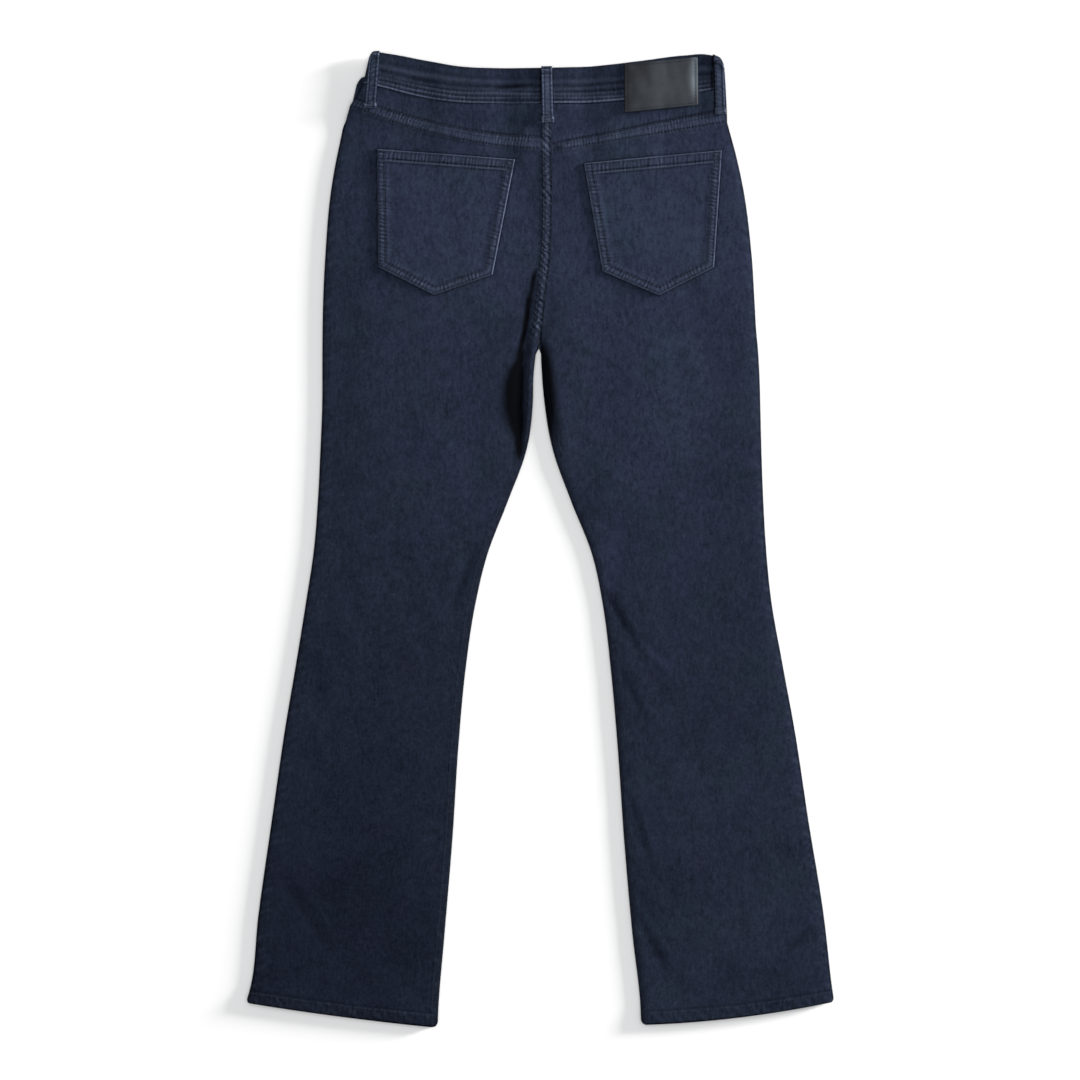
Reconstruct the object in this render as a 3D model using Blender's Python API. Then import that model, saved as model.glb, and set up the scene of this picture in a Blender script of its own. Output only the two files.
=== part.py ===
"""Bootcut jeans laid flat, back side up.

The two front panels lie face down on the surface. The back panels, the yokes and the
waistband lie on them, and the back pockets, the patch and the belt loops lie on those.
Lengths below are in millimetres: +X is the wearer's right, +Y the waist, +Z up.
"""
import bisect
import math
from collections import namedtuple

import bmesh
import bpy

for old_object in list(bpy.data.objects):
    bpy.data.objects.remove(old_object, do_unlink=True)

MM = 0.001

# Cloth and seams
WALL = 1.3
SEAM_GAP = 0.3
BAND_WALL = 3.0
BAND_SUNK = 0.6
SEAM_RAISE = 0.9
CENTRE_SEAM_WIDTH = 9.8
HEM_DEPTH = 15.0
HEM_RAISE = 0.8
EDGE_ROUND = 1.8
EDGE_THIN = 0.45
TIP_THIN = 0.55
TIP_RUN = 1.2
STEP_RUN = 0.8

# How the layers lie
LEG_FILL = 2.2
SEAT_FILL = 2.6
SEAT_START_Y = 150.0
SEAT_END_Y = 320.0
WAIST_FILL = 1.2
WAIST_START_Y = 445.0
WAIST_END_Y = 505.0
EDGE_REACH = 12.0
EDGE_SHARE = 0.55
DOME_REACH = 60.0
CROTCH_Y = 221.6
CROTCH_ABOVE = 34.0
CROTCH_BELOW = 14.0
CENTRE_SEAM_END = 4.0
CENTRE_SEAM_FULL = 26.0
BAND_LEVEL_START_Y = 470.0
BAND_LEVEL_END_Y = 508.0
HEM_LEVEL_START = 16.0
HEM_LEVEL_END = 1.0
DROOP = 1.6
DROOP_START_Y = 512.0
DROOP_END_Y = 552.0

# Small pieces
POCKET_WALL = 1.2
POCKET_BORDER = 9.0
POCKET_HEM = 13.0
POCKET_RAISE = 0.7
PATCH_WALL = 1.7
PATCH_CORNER = 0.6
LOOP_WIDTH = 12.6
LOOP_WALL = 1.4
LOOP_FOLD = 1.0
LOOP_ARCH = 0.7
FRONT_LOOP_WALL = 1.2
FRONT_LOOP_TAIL = 13.0
LOOP_OVER_BACK = 1.3
LOOP_OVER_FRONT = 2.4
BUTTON_RADIUS = 8.5
BUTTON_THICK = 1.8
BUTTON_DISH = 0.5
BUTTON_SEGMENTS = 24
FLY_WIDTH = 40.0
FLY_LENGTH = 165.0
FLY_TOP_DROP = 1.0
FLY_END_SHARE = 0.55
FLY_END_ROUND = 30.0
FACING_BELOW = 1.5
FACING_TURN = 60.0

# Sections across each half of the back, from the top of the waistband to the hem.
# sag is how far the middle of the section lies below the line between its two ends.
Row = namedtuple("Row", "outer_x outer_y inner_x inner_y sag")
BACK_ROWS = {
    "left": (
        Row(-199.0, 556.5, 12.8, 548.2, 0.0),
        Row(-204.7, 530.1, 12.8, 506.3, 10.0),
        Row(-220.4, 503.4, 12.8, 452.7, 11.0),
        Row(-233.7, 453.6, 13.6, 407.2, 6.0),
        Row(-243.6, 395.6, 13.1, 363.1, 3.0),
        Row(-248.8, 331.8, 11.0, 323.6, 1.0),
        Row(-251.4, 279.6, 5.8, 279.6, 0.0),
        Row(-252.1, 244.8, 1.7, 247.1, 0.0),
        Row(-252.3, 219.2, -4.1, 221.6, 0.0),
        Row(-252.3, 192.6, -7.5, 192.6, 0.0),
        Row(-252.5, 157.8, -8.5, 157.8, 0.0),
        Row(-254.6, 105.6, -15.1, 107.9, 0.0),
        Row(-257.5, 47.6, -37.7, 45.2, 0.0),
        Row(-262.2, -10.4, -60.9, -15.1, 0.0),
        Row(-270.9, -68.4, -75.4, -75.4, 0.0),
        Row(-282.5, -140.4, -86.7, -152.0, 0.0),
        Row(-295.8, -219.2, -94.5, -236.6, 0.0),
        Row(-310.9, -323.6, -101.5, -344.5, 0.0),
        Row(-326.5, -433.8, -110.8, -457.0, 0.0),
        Row(-336.6, -520.8, -118.0, -546.4, 1.6),
        Row(-341.0, -536.0, -118.6, -563.4, 1.6),
    ),
    "right": (
        Row(213.6, 548.0, 13.1, 548.2, 0.0),
        Row(215.2, 524.9, 13.1, 506.3, 5.0),
        Row(216.9, 484.9, 13.1, 450.7, 0.0),
        Row(228.5, 442.0, 13.9, 407.2, 0.0),
        Row(237.8, 395.6, 13.4, 363.1, 0.0),
        Row(245.3, 331.8, 11.3, 323.6, 0.0),
        Row(248.6, 279.6, 6.2, 279.6, 0.0),
        Row(250.6, 244.8, 2.8, 247.1, 0.0),
        Row(252.9, 219.2, 1.2, 221.6, 0.0),
        Row(254.4, 192.6, 2.3, 192.6, 0.0),
        Row(255.4, 157.8, 5.5, 157.8, 0.0),
        Row(256.7, 105.6, 14.3, 107.9, 0.0),
        Row(258.7, 49.9, 36.5, 45.2, 0.0),
        Row(262.2, -10.4, 60.3, -15.1, 0.0),
        Row(268.0, -68.4, 73.1, -75.4, 0.0),
        Row(280.7, -140.4, 82.4, -152.0, 0.0),
        Row(295.2, -219.2, 89.9, -236.6, 0.0),
        Row(311.5, -326.0, 97.4, -344.5, 0.0),
        Row(328.9, -433.8, 107.3, -457.0, 0.0),
        Row(338.7, -518.6, 116.6, -542.0, 3.6),
        Row(341.0, -535.0, 117.2, -560.6, 4.5),
    ),
}
YOKE_ROW = 2
HEM_ROW = -2

# How far each leg laps over its yoke, at the side seam and at the centre back
Lap = namedtuple("Lap", "outer inner")
YOKE_LAPS = {"left": Lap(11.5, 15.5), "right": Lap(16.5, 9.5)}
FRONT_LOW_ROW = 5

# Waistband pieces, point by point along the band
BandRow = namedtuple("BandRow", "top_x top_y low_x low_y")
BACK_BAND = (
    BandRow(-199.0, 556.5, -204.7, 530.1),
    BandRow(-195.0, 563.8, -201.2, 529.3),
    BandRow(-188.6, 565.9, -195.0, 527.9),
    BandRow(-176.5, 564.6, -184.5, 525.5),
    BandRow(-134.5, 557.0, -147.5, 516.0),
    BandRow(-93.0, 549.8, -102.0, 508.2),
    BandRow(-37.0, 547.8, -40.5, 506.5),
    BandRow(8.0, 548.2, 8.0, 506.3),
    BandRow(58.0, 549.8, 58.0, 506.8),
    BandRow(116.0, 556.0, 119.5, 511.5),
    BandRow(168.0, 562.6, 174.0, 518.0),
    BandRow(192.5, 563.6, 195.0, 521.5),
    BandRow(203.8, 560.6, 205.3, 523.4),
    BandRow(210.4, 555.6, 211.2, 524.4),
    BandRow(213.6, 548.0, 215.2, 524.9),
)
FRONT_BAND = {
    "left": (
        BandRow(-212.6, 529.0, -217.5, 508.0),
        BandRow(-207.5, 537.0, -211.5, 505.4),
        BandRow(-198.0, 538.0, -203.0, 502.0),
        BandRow(-162.5, 528.0, -170.5, 490.5),
        BandRow(-104.5, 518.5, -109.0, 479.5),
        BandRow(-46.5, 514.0, -47.5, 474.0),
        BandRow(7.0, 512.5, 7.0, 472.0),
        BandRow(21.0, 512.5, 21.0, 472.0),
    ),
    "right": (
        BandRow(211.5, 545.0, 214.8, 509.0),
        BandRow(174.0, 532.5, 178.5, 494.0),
        BandRow(116.0, 519.5, 119.5, 480.0),
        BandRow(60.5, 514.0, 61.5, 474.0),
        BandRow(21.3, 512.5, 21.3, 472.0),
    ),
}
CENTRE_FRONT_TOP_X = 7.0
CENTRE_FRONT_TOP_Y = 472.0
CENTRE_FRONT_LOW_X = -1.5

# Front pocket openings: a quarter ellipse from the waist seam to the side seam
SCOOP_WAIST_X = {"left": -95.0, "right": 109.0}
SCOOP_SIDE_Y = 419.0
SCOOP_STEPS = 10
SCOOP_SEAM_STEP = 10.0

# Back pockets, corner by corner, and the leather patch
Corners = namedtuple("Corners", "top_left top_right low_right point low_left")
POCKETS = {
    "left": Corners((-189.0, 454.0), (-29.0, 442.0), (-55.0, 308.5), (-122.5, 285.0), (-187.5, 317.5)),
    "right": Corners((51.0, 437.5), (210.5, 452.5), (201.5, 317.0), (137.5, 284.5), (72.5, 312.5)),
}
Plate = namedtuple("Plate", "top_left top_right low_right low_left")
PATCH = Plate((97.5, 552.0), (182.5, 560.5), (183.0, 504.5), (97.5, 495.5))

# Belt loops on the back, by the middle of their top and bottom ends. The top end
# follows the fold of the waistband.
Loop = namedtuple("Loop", "top_x top_y low_x low_y")
BACK_LOOPS = {
    "belt_loop_centre": Loop(7.6, 550.6, 9.0, 484.5),
    "belt_loop_back_left": Loop(-192.0, 566.0, -197.0, 501.0),
    "belt_loop_back_right": Loop(206.4, 560.0, 208.2, 494.0),
}
FRONT_LOOP_X = {"left": -88.0, "right": 102.0}
LIFT_FLAT = 24.0
LIFT_RUN = 22.0
LIFT_START_Y = 425.0
LIFT_END_Y = 452.0
LIFT_SHARE_BACK = 0.9

# The largest folds of the back: troughs have a negative depth, ridges a positive one
Fold = namedtuple("Fold", "start middle end width depth")
FOLDS = {
    "left": (
        Fold((0.0, 306.0), (-30.0, 205.0), (-20.0, 84.0), 6.5, -1.9),
        Fold((-6.0, 262.0), (-17.0, 185.0), (-17.0, 92.0), 7.0, 0.7),
        Fold((-30.0, 290.0), (-62.0, 190.0), (-46.0, 70.0), 16.0, 0.8),
        Fold((-72.0, -2.0), (-86.0, -38.0), (-104.0, -80.0), 8.0, -0.7),
        Fold((-308.0, -370.0), (-272.0, -428.0), (-235.0, -484.0), 9.0, -0.6),
    ),
    "right": (
        Fold((4.0, 214.0), (18.0, 150.0), (40.0, 70.0), 14.0, 0.6),
        Fold((76.0, -60.0), (96.0, -96.0), (118.0, -132.0), 8.0, -0.8),
        Fold((94.0, -148.0), (111.0, -182.0), (127.0, -214.0), 8.0, -0.6),
        Fold((100.0, -284.0), (117.0, -333.0), (132.0, -382.0), 9.0, -0.6),
        Fold((112.0, -430.0), (132.0, -466.0), (150.0, -500.0), 9.0, -0.6),
        Fold((317.0, -446.0), (301.0, -463.0), (284.0, -479.0), 8.0, -0.5),
    ),
}
FOLD_SAMPLES = 14

# Column places, in millimetres from an edge
OUTER_STEPS = (0.0, 1.8, 6.0, 14.0, 28.0)
INNER_STEPS = {
    "left": (56.0, 45.0, 36.0, 28.5, 22.0, 16.0, 10.6, 9.8, 2.0, 0.0),
    "right": (56.0, 42.0, 30.0, 20.0, 12.0, 6.0, 1.8, 0.0),
}
MIDDLE_COLUMNS = 4
FRONT_COLUMNS = (0.0, 0.01, 0.06, 0.16, 0.28, 0.4, 0.52, 0.64, 0.76, 0.88, 0.96, 0.99, 1.0)
THIGH_STEP = 25.0
LEG_STEP = 37.0
FRONT_STEP = 46.0
BACK_BAND_STEP = 15.0
FRONT_BAND_STEP = 12.0
FLY_STEP = 15.0
FRONT_LOOP_STEP = 9.0
YOKE_REACH = 45.0
YOKE_STEP = 15.0
THIGH_REACH = 420.0

# The leg's edge over the yoke: part of the lap, and the share of full thickness there
LAP_RISE = ((1.0, 0.6), (0.92, 1.0), (0.08, 1.0))
YOKE_PARTS = (0.0, 0.2, 0.4, 0.6, 0.8, 1.0)

# Parts of the way across or along the small pieces, and their share of thickness there
BAND_RISE = ((0.0, 0.6), (0.035, 1.0), (0.3, 1.0), (0.7, 1.0), (0.95, 1.0), (1.0, 0.55))
BAND_END = 1.6
FRONT_BAND_RISE = ((0.0, 0.0), (0.05, 0.0), (0.5, 0.0), (0.95, 0.0), (1.0, 0.7))
FACING_PARTS = (0.0, 0.02, 0.14, 0.28, 0.42, 0.56, 0.7, 0.85, 1.0)
POCKET_PARTS = (0.22, 0.36, 0.5)
PATCH_DOWN = (0.0, 0.03, 0.2, 0.4, 0.6, 0.8, 0.97, 1.0)
PATCH_ACROSS = (0.0, 0.02, 0.2, 0.4, 0.6, 0.8, 0.98, 1.0)
LOOP_ALONG = (0.0, 0.02, 0.12, 0.15, 0.32, 0.5, 0.68, 0.85, 0.88, 0.98, 1.0)
LOOP_ACROSS = (-1.0, -0.82, 0.0, 0.82, 1.0)
LOOP_FOLD_PART = 0.12
THIN_EDGE = 0.6

DENIM = (0.0165, 0.0205, 0.0400)
DENIM_DARK = (0.0125, 0.0160, 0.0310)
LEATHER = (0.0300, 0.0340, 0.0340)
METAL = (0.1800, 0.1700, 0.1500)


def mix(first, second, part):
    """The value a part of the way from the first to the second."""
    return first + (second - first) * part


def ramp(start, end, value):
    """A smooth rise from 0 at the start to 1 at the end."""
    part = min(1.0, max(0.0, (value - start) / (end - start)))
    return part * part * (3.0 - 2.0 * part)


def rounded(distance, reach):
    """A quarter round that rises from 0 at an edge to 1 at its reach."""
    part = 1.0 - min(1.0, max(0.0, distance / reach))
    return math.sqrt(max(0.0, 1.0 - part * part))


def smooth_read(keys, values, key):
    """Read a smooth curve through the values, whose keys rise."""
    count = len(keys)
    place = max(0, min(count - 2, bisect.bisect_right(keys, key) - 1))

    def slope(index):
        low = max(0, index - 1)
        high = min(count - 1, index + 1)
        if high - low == 1:
            return (values[high] - values[low]) / (keys[high] - keys[low])
        before = keys[index] - keys[low]
        after = keys[high] - keys[index]
        rise_before = (values[index] - values[low]) / before
        rise_after = (values[high] - values[index]) / after
        return (rise_before * after + rise_after * before) / (before + after)

    run = keys[place + 1] - keys[place]
    part = min(1.0, max(0.0, (key - keys[place]) / run))
    square = part * part
    cube = square * part
    return (
        (2.0 * cube - 3.0 * square + 1.0) * values[place]
        + (cube - 2.0 * square + part) * run * slope(place)
        + (3.0 * square - 2.0 * cube) * values[place + 1]
        + (cube - square) * run * slope(place + 1)
    )


def even_steps(start, end, longest):
    """Places from start to end, no further apart than the longest step."""
    count = max(1, math.ceil((end - start) / longest))
    return [mix(start, end, index / count) for index in range(count + 1)]


def edge_keys(side, edge):
    """The heights and places of a leg's outer or inner edge."""
    rows = BACK_ROWS[side]
    return [-getattr(row, edge + "_y") for row in rows], [getattr(row, edge + "_x") for row in rows]


EDGES = {(side, edge): edge_keys(side, edge) for side in BACK_ROWS for edge in ("outer", "inner")}


def edge_x(side, edge, y):
    """Where a leg's edge lies at a height up the garment."""
    keys, values = EDGES[(side, edge)]
    return smooth_read(keys, values, -y)


def hem_height(side, x, y):
    """How far a point of a leg lies above the bottom of its hem."""
    low = BACK_ROWS[side][-1]
    part = (x - low.outer_x) / (low.inner_x - low.outer_x)
    return y - mix(low.outer_y, low.inner_y, part) + low.sag * 4.0 * part * (1.0 - part)


def band_low_y(band, x):
    """The height of a waistband's lower edge at a place across."""
    points = sorted((row.low_x, row.low_y) for row in band)
    return smooth_read([point[0] for point in points], [point[1] for point in points], x)


def band_fold_y(band, x):
    """The height of a waistband's upper fold at a place across."""
    points = sorted((row.top_x, row.top_y) for row in band)
    return smooth_read([point[0] for point in points], [point[1] for point in points], x)


def fold_height(side, x, y):
    """The sum of the ridges and troughs of one leg at a point."""
    total = 0.0
    for fold in FOLDS[side]:
        nearest = None
        for index in range(FOLD_SAMPLES + 1):
            part = index / FOLD_SAMPLES
            first = (1.0 - part) ** 2
            second = 2.0 * part * (1.0 - part)
            third = part * part
            fold_x = first * fold.start[0] + second * fold.middle[0] + third * fold.end[0]
            fold_y = first * fold.start[1] + second * fold.middle[1] + third * fold.end[1]
            distance = math.hypot(x - fold_x, y - fold_y)
            if nearest is None or distance < nearest[0]:
                nearest = (distance, part)
        distance, part = nearest
        fade = math.sqrt(max(0.0, math.sin(math.pi * part)))
        total += fold.depth * fade * math.exp(-((distance / fold.width) ** 2))
    return total


def lift(x, y):
    """How far the button and the front belt loops hold the cloth up at the waist."""
    total = 0.0
    for middle, height in (
        (CENTRE_FRONT_TOP_X, BUTTON_THICK + SEAM_GAP),
        (FRONT_LOOP_X["left"], FRONT_LOOP_WALL + SEAM_GAP),
        (FRONT_LOOP_X["right"], FRONT_LOOP_WALL + SEAM_GAP),
    ):
        away = abs(x - middle)
        total = max(total, height * ramp(LIFT_FLAT + LIFT_RUN, LIFT_FLAT, away))
    return total * ramp(LIFT_START_Y, LIFT_END_Y, y)


def dome(distance):
    """The share of its full height that the cloth reaches at a distance from its edge."""
    return mix(rounded(distance, DOME_REACH), rounded(distance, EDGE_REACH), EDGE_SHARE)


def back_under(side, x, y):
    """The underside of the back layer."""
    outer_away = abs(x - edge_x(side, "outer", y))
    inner_away = abs(x - edge_x(side, "inner", y))
    below_crotch = ramp(CROTCH_Y + CROTCH_ABOVE, CROTCH_Y - CROTCH_BELOW, y)
    height = dome(outer_away) * mix(1.0, dome(inner_away), below_crotch)
    fill = mix(LEG_FILL, SEAT_FILL, ramp(SEAT_START_Y, SEAT_END_Y, y))
    fill = mix(fill, WAIST_FILL, ramp(WAIST_START_Y, WAIST_END_Y, y))
    edge_level = WALL + SEAM_GAP
    band_step = BAND_WALL - WALL + BAND_SUNK + SEAM_GAP
    edge_level += band_step * ramp(BAND_LEVEL_START_Y, BAND_LEVEL_END_Y, y)
    over_hem = ramp(HEM_DEPTH + HEM_LEVEL_START, HEM_DEPTH + HEM_LEVEL_END, hem_height(side, x, y))
    edge_level += HEM_RAISE * over_hem
    droop = DROOP * ramp(DROOP_START_Y, DROOP_END_Y, y) * ramp(0.0, DOME_REACH, outer_away)
    level = edge_level + fill * height + fold_height(side, x, y) - droop
    return level + LIFT_SHARE_BACK * lift(x, y)


def side_away(side, x, y):
    """The distance to the nearer free edge of a leg."""
    outer_away = abs(x - edge_x(side, "outer", y))
    if y > CROTCH_Y:
        return outer_away
    return min(outer_away, abs(x - edge_x(side, "inner", y)))


def centre_seam_raise(side, x, y):
    """The height of the felled centre back seam, which the left half carries."""
    if side == "right":
        return 0.0
    away = abs(x - edge_x(side, "inner", y))
    across = ramp(CENTRE_SEAM_WIDTH + STEP_RUN, CENTRE_SEAM_WIDTH, away)
    return SEAM_RAISE * across * ramp(CROTCH_Y + CENTRE_SEAM_END, CROTCH_Y + CENTRE_SEAM_FULL, y)


def back_top(side, x, y):
    """The upper face of a back panel away from its hem."""
    thinned = mix(EDGE_THIN, 1.0, rounded(side_away(side, x, y), EDGE_ROUND))
    return back_under(side, x, y) + WALL * thinned + centre_seam_raise(side, x, y)


def band_top(side, x, y):
    """The upper face of the back waistband away from its edges."""
    return back_under(side, x, y) - BAND_SUNK + BAND_WALL


def add_material(name, colour, roughness, metallic=0.0):
    """A plain finish."""
    material = bpy.data.materials.new(name)
    material.use_nodes = True
    shader = material.node_tree.nodes["Principled BSDF"]
    shader.inputs["Base Color"].default_value = (*colour, 1.0)
    shader.inputs["Roughness"].default_value = roughness
    shader.inputs["Metallic"].default_value = metallic
    return material


def add_wall(name, grid, colour, roughness=0.9):
    """A closed wall of cloth. A grid point is x, y, the underside and the upper face."""
    rows = len(grid)
    columns = len(grid[0])
    shape = bmesh.new()
    upper = [[shape.verts.new((x * MM, y * MM, top * MM)) for x, y, under, top in row] for row in grid]
    lower = [[shape.verts.new((x * MM, y * MM, under * MM)) for x, y, under, top in row] for row in grid]
    for row in range(rows - 1):
        for column in range(columns - 1):
            for layer in (upper, lower):
                shape.faces.new((
                    layer[row][column],
                    layer[row][column + 1],
                    layer[row + 1][column + 1],
                    layer[row + 1][column],
                ))
    rim = [(0, column) for column in range(columns)]
    rim += [(row, columns - 1) for row in range(1, rows)]
    rim += [(rows - 1, column) for column in range(columns - 2, -1, -1)]
    rim += [(row, 0) for row in range(rows - 2, 0, -1)]
    for index, (row, column) in enumerate(rim):
        next_row, next_column = rim[(index + 1) % len(rim)]
        shape.faces.new((
            upper[row][column],
            upper[next_row][next_column],
            lower[next_row][next_column],
            lower[row][column],
        ))
    bmesh.ops.recalc_face_normals(shape, faces=shape.faces)
    bmesh.ops.triangulate(shape, faces=shape.faces)
    return add_object(name, shape, colour, roughness)


def add_object(name, shape, colour, roughness, metallic=0.0):
    """Turn a finished bmesh into a named piece with its own finish."""
    mesh = bpy.data.meshes.new(name)
    shape.to_mesh(mesh)
    shape.free()
    mesh.shade_smooth()
    mesh.set_sharp_from_angle(angle=math.radians(40.0))
    piece = bpy.data.objects.new(name, mesh)
    piece.data.materials.append(add_material(name + "_finish", colour, roughness, metallic))
    bpy.context.collection.objects.link(piece)
    return piece


def row_keys(rows):
    """The distance down the leg of each section, read at its middle."""
    top = (rows[0].outer_y + rows[0].inner_y) / 2.0
    return [top - (row.outer_y + row.inner_y) / 2.0 for row in rows]


def read_row(rows, keys, down):
    """The section at a distance down the leg."""
    return Row(*(smooth_read(keys, [row[field] for row in rows], down) for field in range(len(Row._fields))))


def row_point(row, across):
    """A point of a section, from 0 at its outer end to 1 at its inner end."""
    x = mix(row.outer_x, row.inner_x, across)
    y = mix(row.outer_y, row.inner_y, across) - row.sag * 4.0 * across * (1.0 - across)
    return x, y


def column_places(row, inner_steps):
    """Places across a section, close together near its edges."""
    width = math.hypot(row.inner_x - row.outer_x, row.inner_y - row.outer_y)
    middle = [
        mix(OUTER_STEPS[-1], width - inner_steps[0], (index + 1) / (MIDDLE_COLUMNS + 1))
        for index in range(MIDDLE_COLUMNS)
    ]
    places = list(OUTER_STEPS) + middle + [width - step for step in inner_steps]
    return [place / width for place in places]


def section_downs(keys, first_step, second_step):
    """Distances down a panel, with two close ones where the hem begins."""
    hem = keys[HEM_ROW]
    downs = even_steps(0.0, YOKE_REACH, YOKE_STEP)
    downs += even_steps(YOKE_REACH, THIGH_REACH, first_step)[1:]
    downs += even_steps(THIGH_REACH, hem - STEP_RUN, second_step)[1:]
    return downs + [hem, mix(hem, keys[-1], 0.5), keys[-1] - TIP_RUN, keys[-1]]


def yoke_line(side, across):
    """The line from the yoke seam up to the waist seam, and how far the leg laps up it."""
    waist = BACK_ROWS[side][YOKE_ROW - 1]
    low_x, low_y = row_point(BACK_ROWS[side][YOKE_ROW], across)
    top_x = mix(waist.outer_x, waist.inner_x, across)
    top_y = band_low_y(BACK_BAND, top_x) - SEAM_GAP
    lap = mix(YOKE_LAPS[side].outer, YOKE_LAPS[side].inner, across)
    return (low_x, low_y), (top_x, top_y), lap / math.hypot(top_x - low_x, top_y - low_y)


def build_back_panel(side):
    """A back leg panel from its edge lapped over the yoke down to its folded hem."""
    rows = BACK_ROWS[side][YOKE_ROW:]
    keys = row_keys(rows)
    places = column_places(rows[0], INNER_STEPS[side])
    grid = []
    for part, share in LAP_RISE:
        line = []
        for across in places:
            low, top, lap = yoke_line(side, across)
            x = mix(low[0], top[0], lap * part)
            y = mix(low[1], top[1], lap * part)
            under = back_under(side, x, y)
            centre = centre_seam_raise(side, x, y)
            wall = back_top(side, x, y) - under - centre
            line.append((x, y, under, under + (wall + max(SEAM_RAISE, centre)) * share))
        grid.append(line)
    for down in section_downs(keys, THIGH_STEP, LEG_STEP):
        row = read_row(rows, keys, down)
        in_hem = HEM_RAISE if down >= keys[HEM_ROW] else 0.0
        last_round = mix(0.5, 1.0, rounded(keys[-1] - down, TIP_RUN))
        line = []
        for across in column_places(row, INNER_STEPS[side]):
            x, y = row_point(row, across)
            under = back_under(side, x, y)
            top = under + (back_top(side, x, y) - under + in_hem) * last_round
            line.append((x, y, under, top))
        grid.append(line)
    add_wall("back_panel_" + side, grid, DENIM)


def build_yoke(side):
    """A back yoke, from the lapped edge of the leg panel up to the waist seam."""
    grid = [[] for _ in YOKE_PARTS]
    for across in column_places(BACK_ROWS[side][YOKE_ROW], INNER_STEPS[side]):
        low, top, lap = yoke_line(side, across)
        gap = SEAM_GAP / math.dist(low, top)
        for line, part in zip(grid, YOKE_PARTS):
            up = mix(lap + gap, 1.0, part)
            x = mix(low[0], top[0], up)
            y = mix(low[1], top[1], up)
            line.append((x, y, back_under(side, x, y), back_top(side, x, y)))
    add_wall("yoke_" + side, grid, DENIM)


def band_line(band, spacing):
    """Matching points along the top and lower edges of a waistband piece."""
    keys = [0.0]
    for first, second in zip(band, band[1:]):
        keys.append(keys[-1] + math.hypot(second.low_x - first.low_x, second.low_y - first.low_y))
    line = []
    for along in [0.0] + even_steps(BAND_END, keys[-1] - BAND_END, spacing) + [keys[-1]]:
        line.append(BandRow(*(smooth_read(keys, [row[field] for row in band], along) for field in range(4))))
    return line


def build_back_band():
    """The back of the waistband, a folded strip with rounded edges."""
    grid = []
    line = band_line(BACK_BAND, BACK_BAND_STEP)
    for up, share in BAND_RISE:
        points = []
        for index, row in enumerate(line):
            x = mix(row.low_x, row.top_x, up)
            y = mix(band_low_y(BACK_BAND, row.low_x), row.top_y, up)
            side = "left" if x < BACK_ROWS["left"][0].inner_x else "right"
            at_end = TIP_THIN if index in (0, len(line) - 1) else 1.0
            under = back_under(side, x, y) - BAND_SUNK
            points.append((x, y, under, under + BAND_WALL * min(share, at_end)))
        grid.append(points)
    add_wall("waistband_back", grid, DENIM)


def build_front_band(side):
    """One front end of the waistband, lying face down."""
    grid = []
    band = FRONT_BAND[side]
    line = band_line(band, FRONT_BAND_STEP)
    for up, lifted in FRONT_BAND_RISE:
        points = []
        for index, row in enumerate(line):
            x = mix(row.low_x, row.top_x, up)
            y = mix(band_low_y(band, row.low_x), row.top_y, up)
            at_end = 0.9 if index == 0 else 0.0
            raised = lift(x, y)
            points.append((x, y, raised + max(lifted, at_end), raised + BAND_WALL))
        grid.append(points)
    add_wall("waistband_front_" + side, grid, DENIM)


def centre_front_x(y):
    """The centre front seam, a straight line down to the crotch."""
    part = (CENTRE_FRONT_TOP_Y - y) / (CENTRE_FRONT_TOP_Y - CROTCH_Y)
    return mix(CENTRE_FRONT_TOP_X, CENTRE_FRONT_LOW_X, part)


def own_side(side, x, seam_x):
    """Keep an edge on its own side of a seam between the two halves."""
    if side == "left":
        return min(x, seam_x - SEAM_GAP / 2.0)
    return max(x, seam_x + SEAM_GAP / 2.0)


def scoop_point(side, turn):
    """A point of the front pocket opening, from 0 at the waist to 1 at the side seam."""
    side_x = edge_x(side, "outer", SCOOP_SIDE_Y)
    waist_x = SCOOP_WAIST_X[side]
    waist_y = band_low_y(FRONT_BAND[side], waist_x) - SEAM_GAP
    angle = turn * math.pi / 2.0
    x = side_x + (waist_x - side_x) * math.cos(angle)
    y = waist_y + (SCOOP_SIDE_Y - waist_y) * math.sin(angle)
    return x, y


def scoop_rows(side):
    """Sections of a front panel from the waist seam down its pocket opening."""
    rows = []
    for index in range(SCOOP_STEPS + 1):
        outer_x, outer_y = scoop_point(side, index / SCOOP_STEPS)
        inner_y = CENTRE_FRONT_TOP_Y - SEAM_GAP - SCOOP_SEAM_STEP * index
        inner_x = own_side(side, centre_front_x(inner_y), centre_front_x(inner_y))
        rows.append(Row(outer_x, outer_y, inner_x, inner_y, 0.0))
    return rows


def front_leg_rows(side, first_row):
    """Sections of a front panel below its pocket opening, on the outline of the back."""
    rows = [first_row] + list(BACK_ROWS[side][FRONT_LOW_ROW:])
    keys = row_keys(rows)
    downs = even_steps(0.0, keys[HEM_ROW] - STEP_RUN, FRONT_STEP)[1:]
    downs += [keys[HEM_ROW], keys[-1] - EDGE_ROUND, keys[-1]]
    sections = []
    for down in downs:
        row = read_row(rows, keys, down)
        inner_x = edge_x(side, "inner", row.inner_y)
        if row.inner_y > CROTCH_Y:
            inner_x = own_side(side, centre_front_x(row.inner_y), centre_front_x(row.inner_y))
        outer_x = edge_x(side, "outer", row.outer_y)
        sections.append(Row(outer_x, row.outer_y, inner_x, row.inner_y, row.sag))
    return sections


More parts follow.
